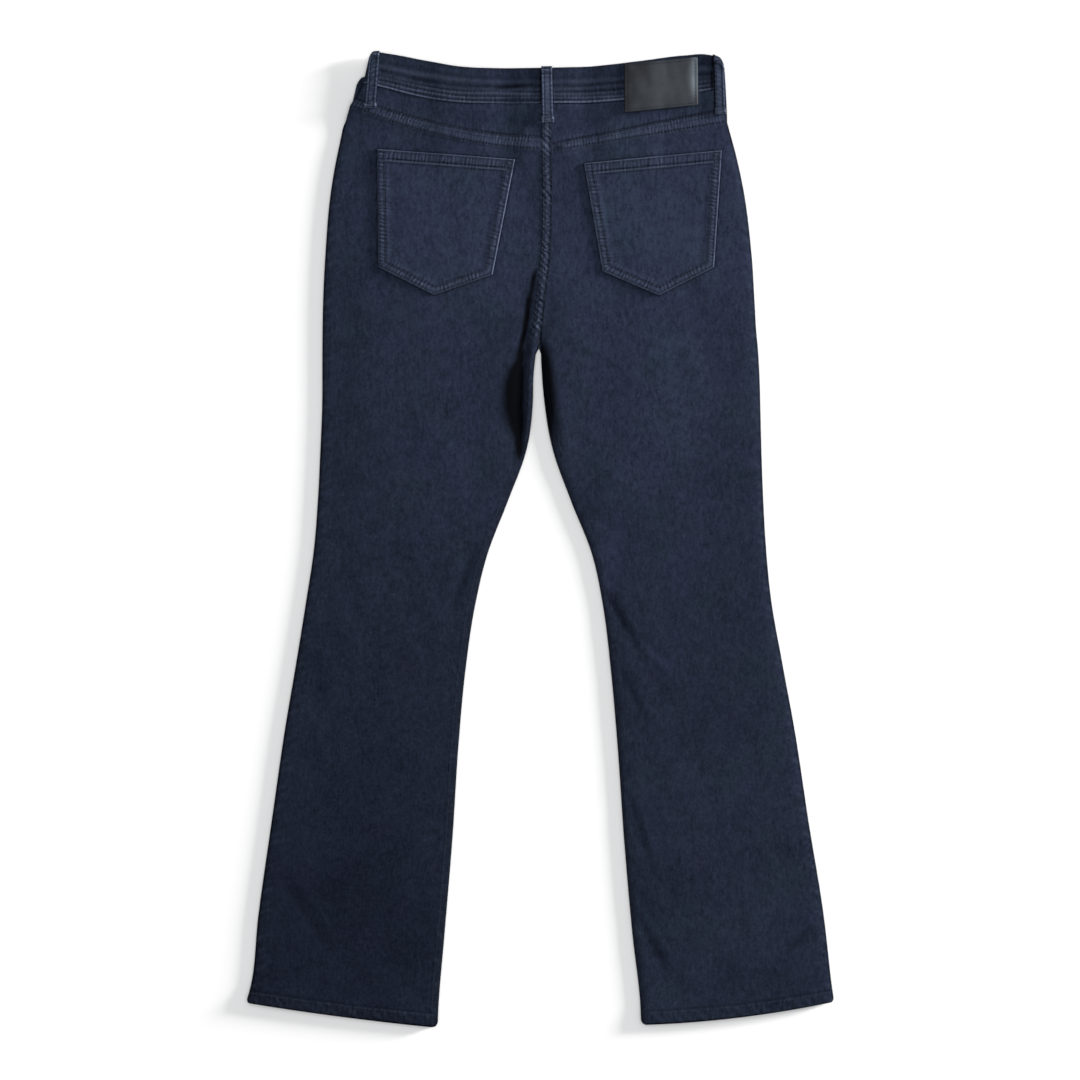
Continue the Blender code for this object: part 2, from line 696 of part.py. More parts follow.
def build_front_panel(side):
    """A front leg panel, face down, from the waist seam and pocket opening to the hem."""
    rows = scoop_rows(side)
    rows += front_leg_rows(side, rows[-1])
    grid = []
    for index, row in enumerate(rows):
        line = []
        for across in FRONT_COLUMNS:
            x, y = row_point(row, across)
            if index == 0:
                y = band_low_y(FRONT_BAND[side], x) - SEAM_GAP
            edge = 0.6 * (1.0 - rounded(side_away(side, x, y), EDGE_ROUND))
            end_round = 0.5 if row is rows[-1] else 0.0
            hem = HEM_RAISE if index >= len(rows) - 3 else 0.0
            raised = lift(x, y)
            line.append((x, y, raised + max(edge, end_round), raised + WALL + hem))
        grid.append(line)
    add_wall("front_panel_" + side, grid, DENIM_DARK)


def build_pocket_facing(side):
    """The hip piece that shows in a front pocket opening."""
    waist_row = FRONT_BAND[side][0]
    top_y = waist_row.low_y - SEAM_GAP
    low_y = SCOOP_SIDE_Y + FACING_BELOW
    inward = 1.0 if side == "left" else -1.0
    grid = []
    for index in range(SCOOP_STEPS):
        part = index / (SCOOP_STEPS - 1)
        scoop_x, scoop_y = scoop_point(side, index / SCOOP_STEPS)
        scoop_x -= inward * SEAM_GAP
        outer_y = mix(top_y, low_y, part)
        outer_x = edge_x(side, "outer", outer_y)
        turn_y = SCOOP_SIDE_Y + FACING_TURN
        if outer_y > turn_y:
            outer_x = mix(outer_x, waist_row.low_x, ramp(turn_y, top_y, outer_y))
        line = []
        for across in FACING_PARTS:
            x = mix(outer_x, scoop_x, across)
            y = mix(outer_y, scoop_y, across)
            if index == 0:
                y = band_low_y(FRONT_BAND[side], x) - SEAM_GAP
            elif across > 0.0:
                y += SEAM_GAP * across
            edge = 0.5 if across == 0.0 else 0.0
            raised = lift(x, y)
            line.append((x, y, raised + edge, raised + WALL))
        grid.append(line)
    add_wall("pocket_facing_" + side, grid, DENIM_DARK)


def build_fly():
    """The underlap behind the closed fly, lying on both front panels."""
    grid = []
    for along in even_steps(0.0, FLY_LENGTH, FLY_STEP):
        y = CENTRE_FRONT_TOP_Y - FLY_TOP_DROP - along
        middle = centre_front_x(y)
        half = FLY_WIDTH / 2.0 * mix(FLY_END_SHARE, 1.0, rounded(FLY_LENGTH - along, FLY_END_ROUND))
        line = []
        for across in (-1.0, -0.5, 0.0, 0.5, 1.0):
            x = middle + half * across
            under = WALL + SEAM_GAP + lift(x, y)
            line.append((x, y, under, under + WALL))
        grid.append(line)
    add_wall("fly_underlap", grid, DENIM_DARK)


def pocket_line(corners, across):
    """The top and bottom ends of a line down a back pocket."""
    top = [mix(corners.top_left[axis], corners.top_right[axis], across) for axis in (0, 1)]
    if across <= 0.5:
        ends = (corners.low_left, corners.point, across * 2.0)
    else:
        ends = (corners.point, corners.low_right, across * 2.0 - 1.0)
    low = [mix(ends[0][axis], ends[1][axis], ends[2]) for axis in (0, 1)]
    return top, low


def build_back_pocket(side):
    """A patch pocket with its turned edges and folded top hem."""
    corners = POCKETS[side]
    width = corners.top_right[0] - corners.top_left[0]
    border = POCKET_BORDER / width
    step = STEP_RUN / width
    places = [0.0, TIP_RUN / width, border, border + step, *POCKET_PARTS]
    places += [1.0 - place for place in reversed(places[:-1])]
    grid = [[] for _ in range(12)]
    for across in places:
        top, low = pocket_line(corners, across)
        length = math.hypot(top[0] - low[0], top[1] - low[1])
        downs = [0.0, TIP_RUN, POCKET_HEM, POCKET_HEM + STEP_RUN]
        open_end = length - POCKET_BORDER - STEP_RUN
        downs += [mix(downs[-1], open_end, part) for part in (0.25, 0.5, 0.75, 1.0)]
        downs += [length - POCKET_BORDER, length - TIP_RUN, length]
        downs.insert(5, mix(downs[4], downs[5], 0.5))
        on_side = min(across, 1.0 - across) <= border
        for index, down in enumerate(downs):
            x = mix(top[0], low[0], down / length)
            y = mix(top[1], low[1], down / length)
            under = back_top(side, x, y) + SEAM_GAP
            on_end = index <= 2 or index >= len(downs) - 3
            raised = POCKET_RAISE if on_side or on_end else 0.0
            at_edge = index in (0, len(downs) - 1) or across in (0.0, 1.0)
            wall = (POCKET_WALL + raised) * (TIP_THIN if at_edge else 1.0)
            grid[index].append((x, y, under, under + wall))
    add_wall("back_pocket_" + side, grid, DENIM)


def build_patch():
    """The leather patch over the waistband, with small round corners."""
    grid = []
    for down in PATCH_DOWN:
        line = []
        for across in PATCH_ACROSS:
            left = [mix(PATCH.top_left[axis], PATCH.low_left[axis], down) for axis in (0, 1)]
            right = [mix(PATCH.top_right[axis], PATCH.low_right[axis], down) for axis in (0, 1)]
            x = mix(left[0], right[0], across)
            y = mix(left[1], right[1], across)
            if down in (0.0, 1.0) and across in (0.0, 1.0):
                x += PATCH_CORNER * (1.0 if across == 0.0 else -1.0)
                y += PATCH_CORNER * (-1.0 if down == 0.0 else 1.0)
            under = band_top("right", x, y) + SEAM_GAP
            at_edge = down in (0.0, 1.0) or across in (0.0, 1.0)
            line.append((x, y, under, under + PATCH_WALL * (THIN_EDGE if at_edge else 1.0)))
        grid.append(line)
    add_wall("leather_patch", grid, LEATHER, 0.5)


def build_back_loop(name):
    """A belt loop: a narrow strip over the waistband, folded under at both ends."""
    loop = BACK_LOOPS[name]
    side = "left" if loop.top_x < BACK_ROWS["left"][0].inner_x - LOOP_WIDTH else "right"
    half = LOOP_WIDTH / 2.0
    grid = []
    for along in LOOP_ALONG:
        middle_x = mix(loop.top_x, loop.low_x, along)
        arch = LOOP_ARCH * math.sin(math.pi * along)
        at_end = LOOP_FOLD if min(along, 1.0 - along) <= LOOP_FOLD_PART + 0.001 else 0.0
        tip = THIN_EDGE if along in (0.0, 1.0) else 1.0
        line = []
        for across in LOOP_ACROSS:
            x = middle_x + across * half
            fold_y = band_fold_y(BACK_BAND, x)
            low_y = loop.low_y + across * half * (loop.low_x - loop.top_x) / (loop.top_y - loop.low_y)
            y = mix(fold_y + LOOP_OVER_BACK, low_y, along)
            on_band = min(y, fold_y - LOOP_OVER_BACK)
            under = max(band_top(side, x, on_band), band_top(side, middle_x, on_band)) + SEAM_GAP
            edge = THIN_EDGE if abs(across) == 1.0 else 1.0
            wall = (LOOP_WALL + at_end) * min(edge, tip)
            line.append((x, y, under + arch, under + arch + wall))
        grid.append(line)
    add_wall(name, grid, DENIM)


def build_front_loop(side):
    """A front belt loop, pressed flat between the waistband and the surface."""
    middle = FRONT_LOOP_X[side]
    band = FRONT_BAND[side]
    top_y = band_fold_y(band, middle) + LOOP_OVER_FRONT
    low_y = band_low_y(band, middle) - FRONT_LOOP_TAIL
    half = LOOP_WIDTH / 2.0
    grid = []
    for y in even_steps(low_y, top_y, FRONT_LOOP_STEP):
        grid.append([(middle + half * across, y, 0.0, FRONT_LOOP_WALL) for across in (-1.0, 0.0, 1.0)])
    add_wall("belt_loop_front_" + side, grid, DENIM)


def build_button():
    """The fly button: a turned disc with a dished face, face down under the waistband."""
    middle_y = (CENTRE_FRONT_TOP_Y + FRONT_BAND["right"][-1].top_y) / 2.0
    profile = (
        (0.0, BUTTON_DISH),
        (BUTTON_RADIUS * 0.6, BUTTON_DISH),
        (BUTTON_RADIUS * 0.72, 0.0),
        (BUTTON_RADIUS * 0.9, 0.0),
        (BUTTON_RADIUS, 0.5),
        (BUTTON_RADIUS, 1.3),
        (BUTTON_RADIUS * 0.9, BUTTON_THICK),
        (0.0, BUTTON_THICK),
    )
    shape = bmesh.new()
    rings = []
    for radius, z in profile:
        if radius == 0.0:
            rings.append([shape.verts.new((CENTRE_FRONT_TOP_X * MM, middle_y * MM, z * MM))])
            continue
        ring = []
        for index in range(BUTTON_SEGMENTS):
            angle = 2.0 * math.pi * index / BUTTON_SEGMENTS
            x = CENTRE_FRONT_TOP_X + radius * math.cos(angle)
            y = middle_y + radius * math.sin(angle)
            ring.append(shape.verts.new((x * MM, y * MM, z * MM)))
        rings.append(ring)
    for first, second in zip(rings, rings[1:]):
        for index in range(BUTTON_SEGMENTS):
            after = (index + 1) % BUTTON_SEGMENTS
            corners = [
                first[index % len(first)],
                first[after % len(first)],
                second[after % len(second)],
                second[index % len(second)],
            ]
            corners = list(dict.fromkeys(corners))
            shape.faces.new(corners)
    bmesh.ops.recalc_face_normals(shape, faces=shape.faces)
    bmesh.ops.triangulate(shape, faces=shape.faces)
    add_object("waist_button", shape, METAL, 0.45, 0.9)


for each_side in ("left", "right"):
    build_front_panel(each_side)
    build_pocket_facing(each_side)
    build_front_band(each_side)
    build_front_loop(each_side)
    build_back_panel(each_side)
    build_yoke(each_side)
    build_back_pocket(each_side)
build_fly()
build_button()
build_back_band()
build_patch()
for loop_name in BACK_LOOPS:
    build_back_loop(loop_name)
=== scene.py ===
import math

import bmesh
import bpy
import numpy as np
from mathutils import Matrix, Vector
from mathutils.bvhtree import BVHTree


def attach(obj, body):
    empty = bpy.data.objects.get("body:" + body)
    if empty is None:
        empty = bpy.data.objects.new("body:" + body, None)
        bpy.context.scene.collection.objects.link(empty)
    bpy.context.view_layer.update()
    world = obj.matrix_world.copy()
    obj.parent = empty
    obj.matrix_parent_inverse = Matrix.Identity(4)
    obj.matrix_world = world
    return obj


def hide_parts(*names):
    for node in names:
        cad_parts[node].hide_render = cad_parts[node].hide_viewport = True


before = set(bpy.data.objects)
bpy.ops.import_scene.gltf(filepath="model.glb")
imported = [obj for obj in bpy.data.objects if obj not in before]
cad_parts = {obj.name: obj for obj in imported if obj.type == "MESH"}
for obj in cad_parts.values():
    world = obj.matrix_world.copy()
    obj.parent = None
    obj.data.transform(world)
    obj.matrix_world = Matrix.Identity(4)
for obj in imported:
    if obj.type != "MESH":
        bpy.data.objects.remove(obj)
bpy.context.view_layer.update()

# Front leg panels
# The two front legs of the jeans, cut from dark indigo stretch denim. They lie face
# down and flat on the table, under everything else, and end in a folded, stitched hem.

# Shapes are worked out in millimetres, with the jeans' middle at 0 and up the page as y.
MM = 0.001
WALL = 1.3
SEAM_GAP = 0.3
HEM_DEPTH = 15.0
HEM_RAISE = 0.8
CROTCH_Y = 221.6

# Each section runs from the side seam (outer) to the inside leg (inner). Its middle
# sags below the straight line between the two ends.
SECTION_COLUMNS = ("outer_x", "outer_y", "inner_x", "inner_y", "sag")
OUTLINE = {
    "left": np.array((
        (-199.0, 556.5, 12.8, 548.2, 0.0),
        (-204.7, 530.1, 12.8, 506.3, 10.0),
        (-220.4, 503.4, 12.8, 452.7, 11.0),
        (-233.7, 453.6, 13.6, 407.2, 6.0),
        (-243.6, 395.6, 13.1, 363.1, 3.0),
        (-248.8, 331.8, 11.0, 323.6, 1.0),
        (-251.4, 279.6, 5.8, 279.6, 0.0),
        (-252.1, 244.8, 1.7, 247.1, 0.0),
        (-252.3, 219.2, -4.1, 221.6, 0.0),
        (-252.3, 192.6, -7.5, 192.6, 0.0),
        (-252.5, 157.8, -8.5, 157.8, 0.0),
        (-254.6, 105.6, -15.1, 107.9, 0.0),
        (-257.5, 47.6, -37.7, 45.2, 0.0),
        (-262.2, -10.4, -60.9, -15.1, 0.0),
        (-270.9, -68.4, -75.4, -75.4, 0.0),
        (-282.5, -140.4, -86.7, -152.0, 0.0),
        (-295.8, -219.2, -94.5, -236.6, 0.0),
        (-310.9, -323.6, -101.5, -344.5, 0.0),
        (-326.5, -433.8, -110.8, -457.0, 0.0),
        (-336.6, -520.8, -118.0, -546.4, 1.6),
        (-341.0, -536.0, -118.6, -563.4, 1.6),
    )),
    "right": np.array((
        (213.6, 548.0, 13.1, 548.2, 0.0),
        (215.2, 524.9, 13.1, 506.3, 5.0),
        (216.9, 484.9, 13.1, 450.7, 0.0),
        (228.5, 442.0, 13.9, 407.2, 0.0),
        (237.8, 395.6, 13.4, 363.1, 0.0),
        (245.3, 331.8, 11.3, 323.6, 0.0),
        (248.6, 279.6, 6.2, 279.6, 0.0),
        (250.6, 244.8, 2.8, 247.1, 0.0),
        (252.9, 219.2, 1.2, 221.6, 0.0),
        (254.4, 192.6, 2.3, 192.6, 0.0),
        (255.4, 157.8, 5.5, 157.8, 0.0),
        (256.7, 105.6, 14.3, 107.9, 0.0),
        (258.7, 49.9, 36.5, 45.2, 0.0),
        (262.2, -10.4, 60.3, -15.1, 0.0),
        (268.0, -68.4, 73.1, -75.4, 0.0),
        (280.7, -140.4, 82.4, -152.0, 0.0),
        (295.2, -219.2, 89.9, -236.6, 0.0),
        (311.5, -326.0, 97.4, -344.5, 0.0),
        (328.9, -433.8, 107.3, -457.0, 0.0),
        (338.7, -518.6, 116.6, -542.0, 3.6),
        (341.0, -535.0, 117.2, -560.6, 4.5),
    )),
}
HEM_CORNER = 6.5
# The section where the yoke seam lies, and the first below the front pocket opening.
YOKE_SECTION = 2
FRONT_LEG_SECTION = 5
FRONT_ROW_STEP = 6.0
FRONT_HEM_STEP = 2.0
# The waistband's front ends, which the panels meet: points of the fold and lower edge.
FRONT_BAND = {
    "left": np.array((
        (-212.6, 529.0, -217.5, 508.0),
        (-207.5, 537.0, -211.5, 505.4),
        (-198.0, 538.0, -203.0, 502.0),
        (-162.5, 528.0, -170.5, 490.5),
        (-104.5, 518.5, -109.0, 479.5),
        (-46.5, 514.0, -47.5, 474.0),
        (7.0, 512.5, 7.0, 472.0),
        (21.0, 512.5, 21.0, 472.0),
    )),
    "right": np.array((
        (211.5, 545.0, 214.8, 509.0),
        (174.0, 532.5, 178.5, 494.0),
        (116.0, 519.5, 119.5, 480.0),
        (60.5, 514.0, 61.5, 474.0),
        (21.3, 512.5, 21.3, 472.0),
    )),
}
CENTRE_FRONT = ((7.0, 472.0), (-1.5, 221.6))
# The curved pocket openings, from the waistband to the side seam.
SCOOP_WAIST_X = {"left": -95.0, "right": 109.0}
SCOOP_SIDE_Y = 419.0
SCOOP_STEPS = 10
SCOOP_SEAM_STEP = 10.0
# The button and the front belt loops lie under the cloth and lift it at the waist.
FRONT_LOOP_X = {"left": -88.0, "right": 102.0}
FRONT_LOOP_WALL = 1.2
BUTTON_THICK = 1.8
LIFT_FLAT = 24.0
LIFT_RUN = 22.0
LIFT_FROM, LIFT_FULL = 425.0, 452.0


def mix(first, second, part):
    """A value part of the way from the first to the second."""
    return first + (second - first) * part


def ramp(start, end, value):
    """A smooth rise from 0 at the start to 1 at the end."""
    part = np.clip((value - start) / (end - start), 0.0, 1.0)
    return part * part * (3.0 - 2.0 * part)


def rounded(distance, reach):
    """A quarter circle: 0 at an edge, 1 from its reach on."""
    part = 1.0 - np.clip(distance / reach, 0.0, 1.0)
    return np.sqrt(np.maximum(0.0, 1.0 - part * part))


def rimmed(least, distance, reach):
    """How much of a wall's thickness is left beside its rounded edge."""
    return mix(least, 1.0, rounded(distance, reach))


def peak(value, reach):
    """A smooth bump: 1 where the value is 0, falling away over its reach."""
    return np.exp(-((value / reach) ** 2))


def smooth_read(keys, values, at):
    """Read a smooth curve through the values at rising keys."""
    keys = np.asarray(keys, float)
    values = np.asarray(values, float)
    at = np.clip(np.asarray(at, float), keys[0], keys[-1])
    runs = np.diff(keys)
    rises = np.diff(values) / runs
    slopes = np.empty(len(keys))
    slopes[0], slopes[-1] = rises[0], rises[-1]
    slopes[1:-1] = (rises[:-1] * runs[1:] + rises[1:] * runs[:-1]) / (runs[1:] + runs[:-1])
    place = np.clip(np.searchsorted(keys, at, side="right") - 1, 0, len(keys) - 2)
    run = runs[place]
    part = (at - keys[place]) / run
    square, cube = part ** 2, part ** 3
    return (
        (2 * cube - 3 * square + 1) * values[place]
        + (cube - 2 * square + part) * run * slopes[place]
        + (3 * square - 2 * cube) * values[place + 1]
        + (cube - square) * run * slopes[place + 1]
    )


def even_steps(start, end, longest):
    """Places from start to end in equal steps, none longer than asked."""
    count = max(1, math.ceil((end - start) / longest))
    return np.linspace(start, end, count + 1)


def edge_x(side, edge, y):
    """Where the side seam or the inside leg lies at a height up the jeans."""
    x_column = SECTION_COLUMNS.index(edge + "_x")
    table = OUTLINE[side]
    return smooth_read(-table[:, x_column + 1], table[:, x_column], -np.asarray(y, float))


def band_low_y(band, x):
    """The height of a waistband piece's lower edge at a place across."""
    points = band[np.argsort(band[:, 2])]
    return smooth_read(points[:, 2], points[:, 3], x)


def band_fold_y(band, x):
    """The height of a waistband piece's upper fold at a place across."""
    points = band[np.argsort(band[:, 0])]
    return smooth_read(points[:, 0], points[:, 1], x)


def hem_height(side, x, y):
    """How far a point of a leg lies above the bottom of its hem."""
    outer_x, outer_y, inner_x, inner_y, sag = OUTLINE[side][-1]
    part = (x - outer_x) / (inner_x - outer_x)
    return y - mix(outer_y, inner_y, part) + sag * 4.0 * part * (1.0 - part)


def with_hem_corners(side, sections):
    """The same sections, with the lowest drawn in so that the hem's corners are rounded."""
    drawn = sections.copy()
    for column in (0, 2):
        up = hem_height(side, sections[:, column], sections[:, column + 1])
        short = np.clip(HEM_CORNER - up, 0.0, HEM_CORNER)
        inward = np.sign(sections[:, 2 - column] - sections[:, column])
        drawn[:, column] += inward * (HEM_CORNER - np.sqrt(HEM_CORNER ** 2 - short ** 2))
    return drawn


def lift(x, y):
    """How far the button and the front belt loops hold the cloth up at the waist."""
    total = np.zeros(np.broadcast(x, y).shape)
    for middle, height in (
        (CENTRE_FRONT[0][0], BUTTON_THICK + SEAM_GAP),
        (FRONT_LOOP_X["left"], FRONT_LOOP_WALL + SEAM_GAP),
        (FRONT_LOOP_X["right"], FRONT_LOOP_WALL + SEAM_GAP),
    ):
        total = np.maximum(total, height * ramp(LIFT_FLAT + LIFT_RUN, LIFT_FLAT, np.abs(x - middle)))
    return total * ramp(LIFT_FROM, LIFT_FULL, y)


def centre_front_x(y):
    """Where the centre front seam lies at a height up the jeans."""
    (top_x, top_y), (low_x, low_y) = CENTRE_FRONT
    return mix(top_x, low_x, (top_y - y) / (top_y - low_y))


def side_away(side, x, y):
    """The distance to the nearer free edge of a leg."""
    outer = np.abs(x - edge_x(side, "outer", y))
    inner = np.abs(x - edge_x(side, "inner", y))
    return np.where(y > CROTCH_Y, outer, np.minimum(outer, inner))


def read_sections(table, downs):
    """Sections read from a table at distances down from its first row."""
    middle = (table[:, 1] + table[:, 3]) / 2.0
    keys = middle[0] - middle
    columns = range(len(SECTION_COLUMNS))
    return np.stack([smooth_read(keys, table[:, column], downs) for column in columns], axis=1)


def section_points(sections, across):
    """Points of each section at places from 0, outer, to 1, inner."""
    outer_x, outer_y, inner_x, inner_y, sag = (sections[:, column, None] for column in range(5))
    x = mix(outer_x, inner_x, across)
    y = mix(outer_y, inner_y, across) - sag * 4.0 * across * (1.0 - across)
    return x, y


def put_in_scene(name, data):
    """A new object in the scene for a mesh, a lamp or the camera."""
    placed = bpy.data.objects.new(name, data)
    bpy.context.collection.objects.link(placed)
    return placed


def add_cloth(name, x, y, under, top, fade=0.0, wear=0.0, shade=0.0, run=0.0, tick=0.0):
    """A closed sheet of cloth between two faces, in millimetres.

    Each point also says how faded, worn and puckered the cloth is there, and its painted shade.
    """
    rows, columns = x.shape
    points = np.concatenate([
        np.stack([x, y, top], axis=-1).reshape(-1, 3),
        np.stack([x, y, under], axis=-1).reshape(-1, 3),
    ]) * MM
    index = np.arange(rows * columns).reshape(rows, columns)
    quads = np.stack([index[:-1, :-1], index[:-1, 1:], index[1:, 1:], index[1:, :-1]], axis=-1)
    quads = quads.reshape(-1, 4)
    rim = np.concatenate([index[0, :], index[1:, -1], index[-1, -2::-1], index[-2:0:-1, 0]])
    after = np.roll(rim, -1)
    shift = rows * columns
    sides = np.stack([rim, rim + shift, after + shift, after], axis=-1)
    faces = np.concatenate([quads, quads[:, ::-1] + shift, sides[:, ::-1]])
    first = points[quads[0]]
    if np.cross(first[1] - first[0], first[3] - first[0])[2] < 0.0:
        faces = faces[:, ::-1]
    mesh = bpy.data.meshes.new(name)
    mesh.from_pydata(points.tolist(), [], faces.tolist())
    channels = {"fade": fade, "wear": wear, "shade": shade, "run": run, "tick": tick}
    for channel, values in channels.items():
        spread = np.broadcast_to(values, x.shape).astype(np.float32).ravel()
        layer = mesh.attributes.new(channel, "FLOAT", "POINT")
        layer.data.foreach_set("value", np.concatenate([spread, spread]))
    mesh.shade_smooth()
    mesh.set_sharp_from_angle(angle=math.radians(60.0))
    mesh.validate()
    return put_in_scene(name, mesh)


def cloth_area(x, y):
    """The area of a flat grid in square metres."""
    across = np.stack([np.diff(x, axis=1)[:-1], np.diff(y, axis=1)[:-1]])
    down = np.stack([np.diff(x, axis=0)[:, :-1], np.diff(y, axis=0)[:, :-1]])
    return float(np.abs(across[0] * down[1] - across[1] * down[0]).sum()) * MM * MM


def wobble(at, seed):
    """A slow uneven wave between about -1 and 1."""
    return (
        np.sin(at * 0.113 + seed * 1.7)
        + 0.6 * np.sin(at * 0.237 + seed * 2.9)
        + 0.4 * np.sin(at * 0.419 + seed * 4.3)
    ) / 1.7


def new_group(name, inputs, outputs):
    """An empty shader node group: a vector and plain values go in, plain values come out."""
    tree = bpy.data.node_groups.new(name, "ShaderNodeTree")
    tree.interface.new_socket("Vector", in_out="INPUT", socket_type="NodeSocketVector")
    for label in inputs:
        tree.interface.new_socket(label, in_out="INPUT", socket_type="NodeSocketFloat")
    for label in outputs:
        tree.interface.new_socket(label, in_out="OUTPUT", socket_type="NodeSocketFloat")
    return tree, tree.nodes.new("NodeGroupInput"), tree.nodes.new("NodeGroupOutput")


def add_math(tree, operation, first, second=None):
    """One step of sums in a finish, on sockets or plain numbers."""
    node = tree.nodes.new("ShaderNodeMath")
    node.operation = operation
    for slot, value in ((0, first), (1, second)):
        if isinstance(value, (int, float)):
            node.inputs[slot].default_value = value
        elif value is not None:
            tree.links.new(value, node.inputs[slot])
    return node.outputs[0]


def plus(tree, first, second):
    """The sum of two sockets or numbers."""
    return add_math(tree, "ADD", first, second)


def times(tree, first, second):
    """The product of two sockets or numbers."""
    return add_math(tree, "MULTIPLY", first, second)


def add_noise(tree, vector, scale, detail, stretch=None, rough=0.55):
    """Noise over the cloth, stretched along the warp where asked."""
    if stretch is not None:
        scaling = tree.nodes.new("ShaderNodeVectorMath")
        scaling.operation = "MULTIPLY"
        tree.links.new(vector, scaling.inputs[0])
        scaling.inputs[1].default_value = stretch
        vector = scaling.outputs[0]
    noise = tree.nodes.new("ShaderNodeTexNoise")
    noise.inputs["Scale"].default_value = scale
    noise.inputs["Detail"].default_value = detail
    noise.inputs["Roughness"].default_value = rough
    tree.links.new(vector, noise.inputs["Vector"])
    return noise.outputs["Fac"]


def about_zero(tree, value, amount):
    """Noise moved to lie about zero, and scaled."""
    return times(tree, add_math(tree, "SUBTRACT", value, 0.5), amount)


def clamp(tree, value):
    """A value kept between 0 and 1."""
    node = tree.nodes.new("ShaderNodeClamp")
    tree.links.new(value, node.inputs["Value"])
    return node.outputs[0]


# The twill lines' spacing in metres, and how steeply they cross the cloth.
TWILL_PITCH = 0.0007
TWILL_SLOPE = (0.9, 0.43)


def twill_group():
    """Denim's steep diagonal twill lines with uneven yarns, and its long slubs."""
    tree, given, put = new_group("Twill", (), ("Height", "Slub", "Fuzz", "Dapple"))
    vector = given.outputs["Vector"]
    slope = tree.nodes.new("ShaderNodeVectorMath")
    slope.operation = "DOT_PRODUCT"
    tree.links.new(vector, slope.inputs[0])
    turn = 2.0 * math.pi / TWILL_PITCH
    slope.inputs[1].default_value = (turn * TWILL_SLOPE[0], turn * TWILL_SLOPE[1], 0.0)
    uneven = times(tree, add_noise(tree, vector, 700.0, 2.0), 3.0)
    line = add_math(tree, "SINE", plus(tree, slope.outputs["Value"], uneven))
    yarn = add_noise(tree, vector, 1.0, 3.0, stretch=(1300.0, 260.0, 1.0))
    height = plus(tree, times(tree, line, 0.35), yarn)
    slub = add_noise(tree, vector, 1.0, 3.0, stretch=(430.0, 120.0, 1.0), rough=0.6)
    tree.links.new(height, put.inputs["Height"])
    tree.links.new(slub, put.inputs["Slub"])
    tree.links.new(add_noise(tree, vector, 330.0, 3.0, rough=0.6), put.inputs["Fuzz"])
    tree.links.new(add_noise(tree, vector, 1.0, 2.0, stretch=(190.0, 85.0, 1.0)), put.inputs["Dapple"])
    return tree


def wash_group():
    """The soft cloudy fading that washing leaves in denim."""
    tree, given, put = new_group("Wash", (), ("Cloud", "Mottle", "Hue"))
    vector = given.outputs["Vector"]
    tree.links.new(add_noise(tree, vector, 9.0, 3.0), put.inputs["Cloud"])
    tree.links.new(add_noise(tree, vector, 50.0, 4.0, stretch=(1.0, 0.7, 1.0)), put.inputs["Mottle"])
    tree.links.new(add_noise(tree, vector, 17.0, 2.0), put.inputs["Hue"])
    return tree


def tick_group():
    """The fine strokes across a puckered seam, one for each turn of its run: pale where worn, and dark
    as painted shade.
    """
    tree, given, put = new_group("Ticks", ("Run", "Strength"), ("Pale", "Shade"))
    vector = given.outputs["Vector"]
    uneven = about_zero(tree, add_noise(tree, vector, 210.0, 3.0), 9.0)
    turn = plus(tree, times(tree, given.outputs["Run"], 2.0 * math.pi), uneven)
    wave = add_math(tree, "SINE", turn)
    patchy = about_zero(tree, add_noise(tree, vector, 170.0, 3.0), 4.0)
    patchy = clamp(tree, plus(tree, patchy, 0.45))
    strength = times(tree, given.outputs["Strength"], patchy)
    pale = add_math(tree, "MAXIMUM", add_math(tree, "SUBTRACT", wave, 0.15), 0.0)
    dark = add_math(tree, "MAXIMUM", add_math(tree, "SUBTRACT", -0.2, wave), 0.0)
    tree.links.new(times(tree, pale, strength), put.inputs["Pale"])
    tree.links.new(times(tree, dark, strength), put.inputs["Shade"])
    return tree


TWILL = twill_group()
WASH = wash_group()
TICKS = tick_group()


def use_group(tree, group, vector):
    """Place a shared group in a material."""
    node = tree.nodes.new("ShaderNodeGroup")
    node.node_tree = group
    tree.links.new(vector, node.inputs["Vector"])
    return node


def read_channel(tree, name):
    """One channel that the cloth's points carry: fading, wear, painted shade or sheen, or a seam's
    strokes.
    """
    node = tree.nodes.new("ShaderNodeAttribute")
    node.attribute_name = name
    return node.outputs["Fac"]


def mix_colour(tree, factor, first, second):
    """A colour between two, each a plain colour or a socket."""
    node = tree.nodes.new("ShaderNodeMix")
    node.data_type = "RGBA"
    tree.links.new(factor, node.inputs["Factor"])
    for slot, value in ((6, first), (7, second)):
        if isinstance(value, tuple):
            node.inputs[slot].default_value = (*value, 1.0)
        else:
            tree.links.new(value, node.inputs[slot])
    return node.outputs[2]


def new_material(name):
    """A new finish: its nodes, its shader, and the place on the object that it reads."""
    material = bpy.data.materials.new(name)
    material.use_nodes = True
    tree = material.node_tree
    place = tree.nodes.new("ShaderNodeTexCoord").outputs["Object"]
    return material, tree, tree.nodes["Principled BSDF"], place


def add_bump(tree, shader, height, strength, distance):
    """Small relief in a finish, its distance in metres."""
    bump = tree.nodes.new("ShaderNodeBump")
    bump.inputs["Strength"].default_value = strength
    bump.inputs["Distance"].default_value = distance
    tree.links.new(height, bump.inputs["Height"])
    tree.links.new(bump.outputs["Normal"], shader.inputs["Normal"])


DENIM_DEEP = (0.0034, 0.0052, 0.0105)
DENIM_FADED = (0.0205, 0.0278, 0.0510)
DENIM_WORN = (0.0720, 0.0880, 0.1380)
# How dark the painted shade makes the cloth where it is fullest, as in the deepest
# creases, beside new cloth, and the two casts that the indigo wanders between.
PAINTED_SHADE_TONE = 0.15
GREYER = (0.97, 1.09, 0.99)
BLUER = (1.03, 0.90, 1.01)


